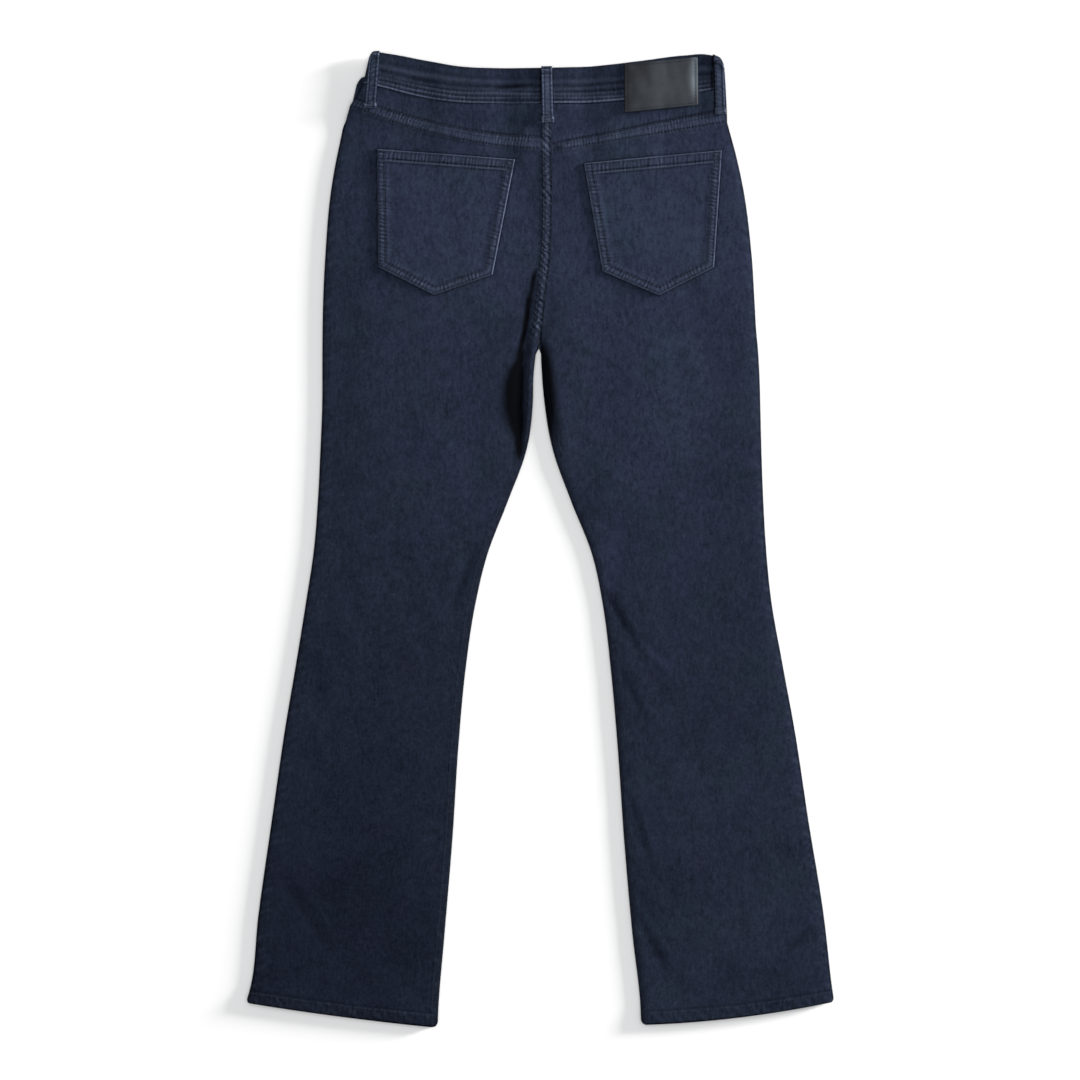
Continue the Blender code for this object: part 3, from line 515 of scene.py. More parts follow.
def denim_material(name):
    """Indigo twill: deep where new, faded by washing, worn pale on raised seams, darkened by painted
    shade.
    """
    material, tree, shader, place = new_material(name)
    twill = use_group(tree, TWILL, place)
    wash = use_group(tree, WASH, place)
    ticks = use_group(tree, TICKS, place)
    tree.links.new(read_channel(tree, "run"), ticks.inputs["Run"])
    tree.links.new(read_channel(tree, "tick"), ticks.inputs["Strength"])
    fade = read_channel(tree, "fade")
    slub = about_zero(tree, twill.outputs["Slub"], 0.76)
    fuzz = about_zero(tree, twill.outputs["Fuzz"], 0.95)
    dapple = times(tree, about_zero(tree, twill.outputs["Dapple"], 1.45), fade)
    coarse = plus(tree, times(tree, fade, 0.85), 0.50)
    grain = times(tree, plus(tree, slub, fuzz), coarse)
    cloud = about_zero(tree, wash.outputs["Cloud"], 0.4)
    mottle = times(tree, about_zero(tree, wash.outputs["Mottle"], 0.7), fade)
    faded_by = plus(tree, plus(tree, grain, dapple), plus(tree, cloud, mottle))
    faded = clamp(tree, plus(tree, fade, faded_by))
    colour = mix_colour(tree, faded, DENIM_DEEP, DENIM_FADED)
    hue = plus(tree, about_zero(tree, wash.outputs["Hue"], 1.7), 0.5)
    tint = tree.nodes.new("ShaderNodeMix")
    tint.data_type = "RGBA"
    tint.blend_type = "MULTIPLY"
    tint.inputs["Factor"].default_value = 1.0
    tree.links.new(colour, tint.inputs[6])
    tree.links.new(mix_colour(tree, clamp(tree, hue), GREYER, BLUER), tint.inputs[7])
    colour = tint.outputs[2]
    rub = plus(tree, times(tree, plus(tree, slub, fuzz), 0.6), 0.85)
    wear = plus(tree, read_channel(tree, "wear"), ticks.outputs["Pale"])
    shade = plus(tree, read_channel(tree, "shade"), ticks.outputs["Shade"])
    colour = mix_colour(tree, clamp(tree, times(tree, wear, rub)), colour, DENIM_WORN)
    # Painted shade: the colour is drawn towards a near-black indigo as far as the shade channel says.
    painted_shade_colour = tuple(value * PAINTED_SHADE_TONE for value in DENIM_DEEP)
    colour = mix_colour(tree, clamp(tree, shade), colour, painted_shade_colour)
    tree.links.new(colour, shader.inputs["Base Color"])
    shader.inputs["Roughness"].default_value = 0.92
    shader.inputs["Specular IOR Level"].default_value = 0.03
    add_bump(tree, shader, twill.outputs["Height"], strength=0.55, distance=0.00025)
    return material


front_denim = denim_material("front denim")


def dress(piece, material, slot, *nodes):
    """Give a piece its finish and set it in place of its solids."""
    piece.data.materials.append(material)
    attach(piece, "root")
    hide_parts(*nodes)


def own_side(side, seam_x):
    """A panel's edge on its own side of the centre front seam."""
    return seam_x + (-SEAM_GAP if side == "left" else SEAM_GAP) / 2.0


def scoop_point(side, turn):
    """A point of the front pocket opening, a quarter ellipse from waist to side seam."""
    side_x = float(edge_x(side, "outer", SCOOP_SIDE_Y))
    waist_x = SCOOP_WAIST_X[side]
    waist_y = float(band_low_y(FRONT_BAND[side], waist_x)) - SEAM_GAP
    angle = turn * math.pi / 2.0
    x = side_x + (waist_x - side_x) * math.cos(angle)
    y = waist_y + (SCOOP_SIDE_Y - waist_y) * math.sin(angle)
    return x, y


def front_sections(side):
    """Sections of a front panel down its pocket opening and then down the leg."""
    rows = []
    for index in range(SCOOP_STEPS * 2 + 1):
        outer_x, outer_y = scoop_point(side, index / SCOOP_STEPS / 2.0)
        inner_y = CENTRE_FRONT[0][1] - SEAM_GAP - SCOOP_SEAM_STEP * index / 2.0
        inner_x = float(own_side(side, centre_front_x(inner_y)))
        rows.append((outer_x, outer_y, inner_x, inner_y, 0.0))
    table = np.concatenate([[rows[-1]], OUTLINE[side][FRONT_LEG_SECTION:]])
    length = (table[0, 1] + table[0, 3] - table[-1, 1] - table[-1, 3]) / 2.0
    downs = np.concatenate([
        even_steps(0.0, length - HEM_DEPTH - 1.0, FRONT_ROW_STEP)[1:],
        even_steps(length - HEM_DEPTH, length, FRONT_HEM_STEP),
    ])
    legs = read_sections(table, downs)
    legs[:, 0] = edge_x(side, "outer", legs[:, 1])
    inner = edge_x(side, "inner", legs[:, 3])
    seam = own_side(side, centre_front_x(legs[:, 3]))
    legs[:, 2] = np.where(legs[:, 3] > CROTCH_Y, seam, inner)
    return np.concatenate([np.array(rows), legs])


def across_places(width, outer_steps, inner_steps, count):
    """Places across a section, close together beside its edges."""
    middle = np.linspace(outer_steps[-1], width - inner_steps[-1], count + 2)[1:-1]
    inner = width - np.array(inner_steps[::-1])
    return np.concatenate([outer_steps, middle, inner]) / width


EDGE_STEPS = (0.0, 0.5, 1.1, 1.9, 3.0, 5.0, 8.0)
FRONT_COLUMNS = 34

for side in ("left", "right"):
    sections = front_sections(side)
    widths = np.hypot(sections[:, 2] - sections[:, 0], sections[:, 3] - sections[:, 1])
    places = np.stack([across_places(width, EDGE_STEPS, EDGE_STEPS, FRONT_COLUMNS) for width in widths])
    x, y = section_points(with_hem_corners(side, sections), places)
    y[0] = band_low_y(FRONT_BAND[side], x[0]) - SEAM_GAP
    away = side_away(side, x, y)
    above_hem = hem_height(side, x, y)
    hem = HEM_RAISE * ramp(HEM_DEPTH + 0.4, HEM_DEPTH - 0.6, above_hem)
    raised = lift(x, y)
    edge_round = 0.6 * (1.0 - rounded(away, 1.8))
    end_round = 0.5 * (1.0 - rounded(above_hem, 1.6))
    under = raised + np.maximum(edge_round, end_round)
    top = raised + WALL + hem
    stitch_row = peak(above_hem - HEM_DEPTH + 1.5, 0.8)
    fade = 0.40 + 0.04 * wobble(0.3 * y + 0.2 * x, seed=3.0) + 0.03 * wobble(0.4 * x - 0.1 * y, seed=8.0)
    wear = 0.35 * peak(away - 1.5, 1.2) + 0.25 * peak(above_hem, 2.0)
    # Painted shade along the hem's row of stitching.
    shade = 0.35 * stitch_row
    piece = add_cloth("leg_front_" + side, x, y, under, top, fade, wear, shade)
    dress(piece, front_denim, "denim_front", "front_panel_" + side)
    cloth_area(x, y)


# Hip pieces of the front pockets
# The denim facing that shows in each curved front pocket opening, caught under the
# waistband and the side seam. It lies face down in the same plane as the front.

# From this far above its lowest point, the outer edge leans over to the waistband.
HIP_LEAN = 60.0

for side in ("left", "right"):
    inward = 1.0 if side == "left" else -1.0
    count = SCOOP_STEPS * 2 - 1
    rows_x, rows_y = [], []
    low_band_x = FRONT_BAND[side][0, 2]
    top_y = FRONT_BAND[side][0, 3] - SEAM_GAP
    across = np.concatenate([[0.0, 0.008, 0.02], np.linspace(0.06, 1.0, 24)])
    for index in range(count):
        scoop_x, scoop_y = scoop_point(side, index / (count + 1))
        scoop_x -= inward * SEAM_GAP * 1.5
        part = index / (count - 1)
        outer_y = mix(top_y, SCOOP_SIDE_Y + 1.5, part)
        outer_x = float(edge_x(side, "outer", outer_y))
        if outer_y > SCOOP_SIDE_Y + HIP_LEAN:
            outer_x = mix(outer_x, low_band_x, float(ramp(SCOOP_SIDE_Y + HIP_LEAN, top_y, outer_y)))
        row_x = mix(outer_x, scoop_x, across)
        row_y = mix(outer_y, scoop_y, across) + SEAM_GAP * across
        if index == 0:
            sag = band_low_y(FRONT_BAND[side], row_x) - SEAM_GAP - row_y
        row_y = row_y + sag * (1.0 - part) ** 3
        rows_x.append(row_x)
        rows_y.append(row_y)
    x, y = np.array(rows_x), np.array(rows_y)
    raised = lift(x, y)
    under = raised + 0.5 * (1.0 - rounded(np.abs(x - x[:, :1]), 1.8))
    piece = add_cloth("hip_piece_" + side, x, y, under, raised + WALL, 0.40)
    dress(piece, front_denim, "denim_front", "pocket_facing_" + side)
    cloth_area(x, y)


# Fly underlap and button
# A denim shield lies behind the closed fly. The waistband is closed by a turned brass
# button with a dished face and a raised rim, pressed on by its shank.

FLY_WIDTH = 40.0
FLY_LENGTH = 165.0
FLY_COLUMNS = 17
BUTTON_FACETS = 64
BUTTON_Y = 492.25
BRASS_DARK = (0.085, 0.065, 0.040)
BRASS_PALE = (0.36, 0.29, 0.18)

along = even_steps(0.0, FLY_LENGTH, 3.0)[:, None]
half = FLY_WIDTH / 2.0 * mix(0.55, 1.0, rounded(FLY_LENGTH - along, 30.0))
y = CENTRE_FRONT[0][1] - 1.0 - along + np.zeros((1, FLY_COLUMNS))
x = centre_front_x(y) + half * np.linspace(-1.0, 1.0, FLY_COLUMNS)[None, :]
under = WALL + SEAM_GAP + lift(x, y)
piece = add_cloth("fly_shield", x, y, under, under + WALL, 0.35)
dress(piece, front_denim, "denim_front", "fly_underlap")
cloth_area(x, y)


def turned(name, profile, facets, centre):
    """A turned solid from radius and height pairs, lowest face first."""
    shape = bmesh.new()
    rings = []
    for radius, height in profile:
        corners = facets if radius > 0.0 else 1
        angles = [2.0 * math.pi * index / facets for index in range(corners)]
        rings.append([
            shape.verts.new((
                (centre[0] + radius * math.cos(angle)) * MM,
                (centre[1] + radius * math.sin(angle)) * MM,
                height * MM,
            ))
            for angle in angles
        ])
    for first, second in zip(rings, rings[1:]):
        for index in range(facets):
            after = (index + 1) % facets
            corners = (
                first[index % len(first)],
                first[after % len(first)],
                second[after % len(second)],
                second[index % len(second)],
            )
            shape.faces.new(list(dict.fromkeys(corners)))
    bmesh.ops.recalc_face_normals(shape, faces=shape.faces)
    mesh = bpy.data.meshes.new(name)
    shape.to_mesh(mesh)
    shape.free()
    mesh.shade_smooth()
    mesh.set_sharp_from_angle(angle=math.radians(40.0))
    return put_in_scene(name, mesh)


def brass_material():
    """Aged brass with a patchy dark patina, duller where it is paler."""
    material, tree, shader, place = new_material("aged brass")
    patina = add_noise(tree, place, 600.0, 4.0)
    colour = mix_colour(tree, clamp(tree, patina), BRASS_DARK, BRASS_PALE)
    tree.links.new(colour, shader.inputs["Base Color"])
    shader.inputs["Metallic"].default_value = 1.0
    rough = plus(tree, times(tree, patina, 0.25), 0.25)
    tree.links.new(rough, shader.inputs["Roughness"])
    return material


# The button's half section, from the middle of its face down on the table to its back.
button_profile = (
    (0.0, 0.45), (4.6, 0.5), (5.4, 0.4), (6.0, 0.12), (6.6, 0.0), (7.3, 0.0),
    (7.9, 0.1), (8.3, 0.35), (8.5, 0.7), (8.5, 1.2), (8.2, 1.6), (7.6, 1.8), (0.0, 1.8),
)
piece = turned("brass_button", button_profile, BUTTON_FACETS, (CENTRE_FRONT[0][0], BUTTON_Y))
dress(piece, brass_material(), "button_metal", "waist_button")


# Front ends of the waistband, and the front belt loops
# Two ends of one folded denim strip, face down under the back, closed by the button at
# the centre. Each carries a narrow belt loop, pressed flat against the table.

BAND_WALL = 3.0
BAND_STITCH = 2.6
LOOP_WIDTH = 12.6
FRONT_LOOP_TAIL = 13.0
FRONT_LOOP_OVER = 2.4
FRONT_LOOP_COLUMNS = 13


def band_grid(band, spacing, up_steps, up_count):
    """A grid over a waistband piece: rows go up from its lower edge to its top fold.

    The band's columns are top_x, top_y, low_x and low_y.
    """
    run = np.concatenate([[0.0], np.cumsum(np.hypot(np.diff(band[:, 2]), np.diff(band[:, 3])))])
    close = np.array((0.0, 0.5, 1.1, 1.9))
    along = np.concatenate([close, even_steps(3.0, run[-1] - 3.0, spacing), run[-1] - close[::-1]])
    top_x, top_y, low_x, low_y = (smooth_read(run, band[:, column], along) for column in range(4))
    low_y = band_low_y(band, low_x)
    height = float(np.mean(np.hypot(top_x - low_x, top_y - low_y)))
    up = across_places(height, up_steps, up_steps, up_count)[:, None]
    x = mix(low_x, top_x, up)
    y = mix(low_y, top_y, up)
    along, up = np.broadcast_to(along, x.shape), np.broadcast_to(up * height, x.shape)
    return x, y, along, up, run[-1], height


for side in ("left", "right"):
    x, y, along, up, length, height = band_grid(FRONT_BAND[side], 4.0, (0.0, 0.5, 1.2, 2.4), 9)
    outer_end = 1.0 - rounded(along, 1.6)
    fold = 1.0 - rounded(height - up, 1.5)
    raised = lift(x, y)
    under = raised + np.maximum(fold, 0.9 * outer_end)
    top = raised + BAND_WALL - np.maximum(0.8 * fold, 0.7 * outer_end)
    stitch = peak(up - BAND_STITCH, 0.8) + peak(height - up - BAND_STITCH, 0.8)
    wear = 0.5 * peak(height - up, 1.6) + 0.5 * peak(along, 2.0)
    top = top - 0.15 * stitch
    # Painted shade along both rows of stitching.
    piece = add_cloth("waistband_end_" + side, x, y, under, top, 0.42, wear, 0.35 * stitch)
    dress(piece, front_denim, "denim_front", "waistband_front_" + side)

    loop_top = float(band_fold_y(FRONT_BAND[side], FRONT_LOOP_X[side])) + FRONT_LOOP_OVER
    loop_low = float(band_low_y(FRONT_BAND[side], FRONT_LOOP_X[side])) - FRONT_LOOP_TAIL
    y = even_steps(loop_low, loop_top, 2.0)[:, None] + np.zeros((1, FRONT_LOOP_COLUMNS))
    across = np.linspace(-1.0, 1.0, FRONT_LOOP_COLUMNS)[None, :] + np.zeros_like(y)
    x = FRONT_LOOP_X[side] + LOOP_WIDTH / 2.0 * across
    edge = 0.3 * (1.0 - rounded((1.0 - np.abs(across)) * LOOP_WIDTH / 2.0, 1.0))
    wear = 0.5 * (np.abs(across) > 0.7)
    piece = add_cloth("front_loop_" + side, x, y, edge, FRONT_LOOP_WALL - edge, 0.45, wear)
    dress(piece, front_denim, "denim_band", "belt_loop_front_" + side)


# Back leg panels
# The two back legs in the same denim, lying soft and creased over the front legs. Their
# top edge is turned and felled over the yoke with two rows of thread. The left one also
# carries the felled centre back seam, and each has a stitched hem that has roped.

# How far the back lies above the front in the legs, the seat and the waist, and the
# heights up the jeans between which the one passes into the next.
LEG_FILL = 2.2
SEAT_FILL = 2.6
WAIST_FILL = 1.2
SEAT_FROM, SEAT_FULL = 150.0, 320.0
WAIST_FROM, WAIST_FULL = 445.0, 505.0
BAND_FROM, BAND_FULL = 470.0, 508.0
DROOP = 1.6
DROOP_FROM, DROOP_FULL = 512.0, 552.0
EDGE_REACH = 12.0
DOME_REACH = 60.0
EDGE_ROUND = 1.8
EDGE_THIN = 0.45
LIFT_SHARE_BACK = 0.9
BAND_SUNK = 0.6
SEAM_RAISE = 0.9
CENTRE_SEAM_WIDTH = 9.8
INSEAM_WIDTH = 9.0
# A felled seam's two rows of thread lie this far inside its fold and its other edge.
SEAM_ROWS = (1.7, 1.9)
# How far each leg laps up its yoke, at the side seam and at the centre back.
YOKE_LAPS = {"left": (11.5, 15.5), "right": (16.5, 9.5)}

# The waistband's back, by points of its fold and of its lower edge.
BACK_BAND = np.array((
    (-199.0, 556.5, -204.7, 530.1),
    (-195.0, 563.8, -201.2, 529.3),
    (-188.6, 565.9, -195.0, 527.9),
    (-176.5, 564.6, -184.5, 525.5),
    (-134.5, 557.0, -147.5, 516.0),
    (-93.0, 549.8, -102.0, 508.2),
    (-37.0, 547.8, -40.5, 506.5),
    (8.0, 548.2, 8.0, 506.3),
    (58.0, 549.8, 58.0, 506.8),
    (116.0, 556.0, 119.5, 511.5),
    (168.0, 562.6, 174.0, 518.0),
    (192.5, 563.6, 195.0, 521.5),
    (203.8, 560.6, 205.3, 523.4),
    (210.4, 555.6, 211.2, 524.4),
    (213.6, 548.0, 215.2, 524.9),
))

# Each fold bends from its start past a middle point to its end: three pairs of x and y,
# its width, and its depth, negative for a trough and positive for a ridge.
FOLDS = {
    "left": (
        (0.0, 306.0, -30.0, 205.0, -20.0, 84.0, 6.5, -1.9),
        (-6.0, 262.0, -17.0, 185.0, -17.0, 92.0, 7.0, 0.7),
        (-30.0, 290.0, -62.0, 190.0, -46.0, 70.0, 16.0, 0.8),
        (-72.0, -2.0, -86.0, -38.0, -104.0, -80.0, 8.0, -0.7),
        (-308.0, -370.0, -272.0, -428.0, -235.0, -484.0, 9.0, -0.6),
    ),
    "right": (
        (4.0, 214.0, 18.0, 150.0, 40.0, 70.0, 14.0, 0.6),
        (76.0, -60.0, 96.0, -96.0, 118.0, -132.0, 6.5, -1.1),
        (94.0, -148.0, 111.0, -182.0, 127.0, -214.0, 6.5, -0.9),
        (100.0, -284.0, 117.0, -333.0, 132.0, -382.0, 9.0, -0.6),
        (112.0, -430.0, 132.0, -466.0, 150.0, -500.0, 9.0, -0.6),
        (317.0, -446.0, 301.0, -463.0, 284.0, -479.0, 8.0, -0.5),
    ),
}
# Fainter creases, in the same columns.
CREASES = {
    "left": (
        (-12.0, 236.0, -48.0, 214.0, -92.0, 206.0, 5.0, -0.35),
        (-14.0, 196.0, -52.0, 168.0, -88.0, 152.0, 5.5, -0.30),
        (-20.0, 150.0, -50.0, 118.0, -84.0, 98.0, 6.0, -0.28),
        (-240.0, 262.0, -196.0, 240.0, -140.0, 238.0, 7.0, -0.30),
        (-246.0, 150.0, -206.0, 128.0, -168.0, 120.0, 7.0, -0.25),
        (-66.0, 20.0, -92.0, 2.0, -132.0, -4.0, 6.0, -0.30),
        (-84.0, -92.0, -110.0, -116.0, -150.0, -128.0, 6.5, -0.30),
        (-262.0, -60.0, -226.0, -84.0, -184.0, -92.0, 7.5, -0.25),
        (-280.0, -176.0, -246.0, -206.0, -206.0, -214.0, 7.5, -0.22),
        (-104.0, -300.0, -122.0, -348.0, -140.0, -388.0, 7.0, -0.28),
        (-122.0, -452.0, -150.0, -486.0, -180.0, -508.0, 7.0, -0.22),
    ),
    "right": (
        (18.0, 236.0, 54.0, 210.0, 96.0, 200.0, 5.0, -0.30),
        (20.0, 188.0, 58.0, 160.0, 98.0, 148.0, 5.5, -0.28),
        (30.0, 128.0, 66.0, 100.0, 106.0, 92.0, 6.0, -0.26),
        (246.0, 256.0, 204.0, 236.0, 150.0, 232.0, 7.0, -0.28),
        (256.0, 120.0, 220.0, 100.0, 184.0, 96.0, 7.0, -0.24),
        (74.0, 18.0, 104.0, 2.0, 140.0, -2.0, 6.0, -0.28),
        (262.0, -84.0, 226.0, -108.0, 190.0, -114.0, 7.5, -0.24),
        (282.0, -214.0, 250.0, -240.0, 214.0, -246.0, 7.5, -0.22),
        (118.0, -228.0, 150.0, -252.0, 190.0, -258.0, 7.0, -0.22),
        (302.0, -330.0, 268.0, -352.0, 232.0, -356.0, 8.0, -0.22),
    ),
}
# Deep places that hardly any light reaches, painted dark as shade, in the same columns. Their
# last one is how dark the painted shade is, or below zero how much paler the cloth beside a crease is
# made.
CREASE_SHADE_PAINT = {
    "left": (
        (-4.6, 317.0, -15.7, 267.0, -24.0, 206.0, 2.4, 2.2),
        (-21.5, 226.0, -31.0, 172.0, -23.0, 88.0, 5.0, 2.0),
        (-27.0, 206.0, -38.0, 170.0, -27.0, 124.0, 11.0, 1.4),
        (-12.0, 250.0, -12.0, 168.0, -18.0, 92.0, 5.0, 0.42),
        (-12.0, 300.0, -28.0, 250.0, -46.0, 200.0, 14.0, 0.20),
        (-72.0, -2.0, -84.0, -38.0, -102.0, -80.0, 5.0, 0.25),
        (-308.0, -370.0, -272.0, -428.0, -235.0, -484.0, 4.5, 0.20),
        (-296.0, -366.0, -262.0, -420.0, -226.0, -474.0, 4.5, -0.06),
    ),
    "right": (
        (-1.0, 236.0, 3.0, 186.0, 11.0, 106.0, 8.0, 1.5),
        (8.0, 232.0, 13.0, 182.0, 24.0, 104.0, 6.0, 0.62),
        (16.0, 300.0, 16.0, 264.0, 8.0, 232.0, 9.0, 0.25),
        (46.0, 46.0, 66.0, 34.0, 94.0, 16.0, 4.5, 0.24),
        (72.0, -46.0, 94.0, -92.0, 124.0, -138.0, 5.2, 0.42),
        (100.0, -96.0, 122.0, -126.0, 158.0, -156.0, 4.6, -0.26),
        (88.0, -132.0, 104.0, -174.0, 126.0, -214.0, 5.2, 0.32),
        (104.0, -154.0, 116.0, -178.0, 132.0, -210.0, 4.4, -0.24),
        (100.0, -284.0, 117.0, -333.0, 132.0, -382.0, 4.2, 0.38),
        (108.0, -284.0, 126.0, -333.0, 140.0, -376.0, 4.4, -0.16),
        (112.0, -430.0, 132.0, -466.0, 150.0, -500.0, 4.2, 0.44),
        (121.0, -428.0, 142.0, -462.0, 158.0, -494.0, 4.4, -0.17),
        (317.0, -446.0, 301.0, -463.0, 284.0, -479.0, 4.5, 0.34),
    ),
}
# Where the yoke seams meet the centre seam: a pale knot of thread on the left and painted shade
# on the right, each with its middle, reach and how much paler it is, or below zero how dark the shade
# is.
SEAM_CROSSINGS = {
    "left": (9.0, 456.0, 6.5, 0.34),
    "right": (21.0, 455.0, 5.0, -0.72),
}
CREASE_SAMPLES = 18

# Soft faded and dark places: middle, reach across and along, slant in degrees, and how
# much more they are faded.
WASHED = {
    "left": (
        (-45.0, 330.0, 40.0, 120.0, 0.0, 0.16),
        (-105.0, 130.0, 60.0, 120.0, 6.0, 0.10),
        (-225.0, 200.0, 22.0, 160.0, 0.0, -0.10),
        (-150.0, -60.0, 60.0, 90.0, 8.0, 0.06),
        (-230.0, -420.0, 80.0, 120.0, 12.0, -0.10),
    ),
    "right": (
        (60.0, 320.0, 36.0, 120.0, 0.0, 0.16),
        (151.0, 158.0, 40.0, 95.0, -4.0, 0.22),
        (76.0, -30.0, 14.0, 95.0, -10.0, 0.22),
        (232.0, 180.0, 20.0, 150.0, 0.0, -0.06),
        (220.0, -430.0, 80.0, 120.0, -12.0, 0.05),
    ),
}
# How faded the legs are from the waist down to the hem.
FADE_HEIGHTS = (-570.0, -420.0, -260.0, -100.0, 60.0, 200.0, 340.0, 570.0)
FADE_LEVELS = {
    "left": (0.20, 0.21, 0.26, 0.30, 0.38, 0.46, 0.57, 0.57),
    "right": (0.37, 0.35, 0.37, 0.39, 0.46, 0.53, 0.63, 0.59),
}

waves = np.random.default_rng(11)
WAVES = [
    (
        2.0 * math.pi / waves.uniform(26.0, 75.0),
        2.0 * math.pi / waves.uniform(60.0, 190.0) * waves.choice((-1.0, 1.0)),
        waves.uniform(0.0, 2.0 * math.pi),
        waves.uniform(0.5, 1.0),
    )
    for _ in range(12)
]


def crease_height(creases, x, y):
    """The sum of some creases at each point: troughs are negative, ridges positive."""
    total = np.zeros(x.shape)
    for start_x, start_y, middle_x, middle_y, end_x, end_y, width, depth in creases:
        part = np.linspace(0.0, 1.0, CREASE_SAMPLES + 1)
        line_x = (1 - part) ** 2 * start_x + 2 * part * (1 - part) * middle_x + part ** 2 * end_x
        line_y = (1 - part) ** 2 * start_y + 2 * part * (1 - part) * middle_y + part ** 2 * end_y
        reach = width * 3.0
        near = (
            (x > line_x.min() - reach) & (x < line_x.max() + reach)
            & (y > line_y.min() - reach) & (y < line_y.max() + reach)
        )
        if not near.any():
            continue
        point_x, point_y = x[near], y[near]
        best = np.full(point_x.shape, 1e9)
        place = np.zeros(point_x.shape)
        for index in range(CREASE_SAMPLES):
            run_x = line_x[index + 1] - line_x[index]
            run_y = line_y[index + 1] - line_y[index]
            share = (point_x - line_x[index]) * run_x + (point_y - line_y[index]) * run_y
            share = np.clip(share / (run_x ** 2 + run_y ** 2), 0.0, 1.0)
            beside_x = point_x - line_x[index] - share * run_x
            beside_y = point_y - line_y[index] - share * run_y
            distance = np.hypot(beside_x, beside_y)
            closer = distance < best
            best = np.where(closer, distance, best)
            place = np.where(closer, (index + share) / CREASE_SAMPLES, place)
        fading = np.sqrt(np.maximum(0.0, np.sin(np.pi * place)))
        total[near] += depth * fading * peak(best, width)
    return total


def dome(distance):
    """How the back rises from a folded edge: first steeply, then slowly."""
    return 0.55 * rounded(distance, EDGE_REACH) + 0.45 * rounded(distance, DOME_REACH)


def soft_waves(x, y):
    """The shallow unevenness of washed cloth that isn't pulled flat."""
    total = 0.0
    for turn_x, turn_y, phase, amount in WAVES:
        total = total + amount * np.sin(turn_x * x + turn_y * y + phase)
    return total / 4.0


def back_under(side, x, y):
    """The underside of the back layer as it lies over the front."""
    outer_away = np.abs(x - edge_x(side, "outer", y))
    inner_away = np.abs(x - edge_x(side, "inner", y))
    below_crotch = ramp(CROTCH_Y + 34.0, CROTCH_Y - 14.0, y)
    height = dome(outer_away) * mix(1.0, dome(inner_away), below_crotch)
    fill = mix(LEG_FILL, SEAT_FILL, ramp(SEAT_FROM, SEAT_FULL, y))
    fill = mix(fill, WAIST_FILL, ramp(WAIST_FROM, WAIST_FULL, y))
    above_hem = hem_height(side, x, y)
    band_step = BAND_WALL - WALL + BAND_SUNK + SEAM_GAP
    edge_level = WALL + SEAM_GAP + band_step * ramp(BAND_FROM, BAND_FULL, y)
    edge_level = edge_level + HEM_RAISE * ramp(HEM_DEPTH + 16.0, HEM_DEPTH + 1.0, above_hem)
    droop = DROOP * ramp(DROOP_FROM, DROOP_FULL, y) * ramp(0.0, 60.0, outer_away)
    level = edge_level + fill * height - droop + LIFT_SHARE_BACK * lift(x, y)
    eased = ramp(2.0, 30.0, side_away(side, x, y)) * ramp(0.0, 30.0, above_hem) * ramp(505.0, 470.0, y)
    level = level + crease_height(FOLDS[side], x, y)
    return level + eased * (0.16 * soft_waves(x, y) + crease_height(CREASES[side], x, y))


def edge_wall(side, x, y):
    """The thickness of a back panel, less towards its folded edges."""
    return WALL * rimmed(EDGE_THIN, side_away(side, x, y), EDGE_ROUND)


def back_top(side, x, y):
    """The upper face of a back panel between its seams."""
    return back_under(side, x, y) + edge_wall(side, x, y)


def washed_fade(side, x, y):
    """How faded the cloth is at each point."""
    total = np.interp(y, FADE_HEIGHTS, FADE_LEVELS[side])
    for middle_x, middle_y, reach_x, reach_y, slant, amount in WASHED[side]:
        turn = math.radians(slant)
        right = (x - middle_x) * math.cos(turn) + (y - middle_y) * math.sin(turn)
        up = (y - middle_y) * math.cos(turn) - (x - middle_x) * math.sin(turn)
        total = total + amount * np.exp(-((right / reach_x) ** 2) - (up / reach_y) ** 2)
    return total


# The pockets' corners: the top left and right, the lower right, the point, the lower left.
POCKETS = {
    "left": ((-189.0, 454.0), (-29.0, 442.0), (-55.0, 308.5), (-122.5, 285.0), (-187.5, 317.5)),
    "right": ((51.0, 437.5), (210.5, 452.5), (201.5, 317.0), (137.5, 284.5), (72.5, 312.5)),
}


def edge_frame(first, last, x, y):
    """How far points lie along and inside a straight edge, walked clockwise."""
    run = np.subtract(last, first)
    run = run / np.hypot(*run)
    along = (x - first[0]) * run[0] + (y - first[1]) * run[1]
    inside = (x - first[0]) * run[1] - (y - first[1]) * run[0]
    return along, inside


def pocket_edge_shade(side, x, y):
    """The painted shade on the leg just outside its pocket's edges."""
    corners = POCKETS[side]
    edges = zip(corners, (*corners[1:], corners[0]))
    inside = [edge_frame(first, last, x, y)[1] for first, last in edges]
    outside = -np.min(inside, axis=0)
    return 0.70 * peak(np.maximum(outside, 0.0), 1.5) * (outside > -1.0)


def roping(along, across, pitch, slant, seed):
    """The uneven diagonal ripple that washing pulls into a sewn seam."""
    turn = 2.0 * math.pi / pitch * (along + slant * across) + 1.8 * wobble(along, seed)
    return np.sin(turn) * np.clip(0.6 + 0.5 * wobble(along * 1.9, seed + 5.0), 0.12, 1.1)


def seam_rows(width):
    """How far across a felled seam of a width its two rows of thread lie."""
    return SEAM_ROWS[0], width - SEAM_ROWS[1]


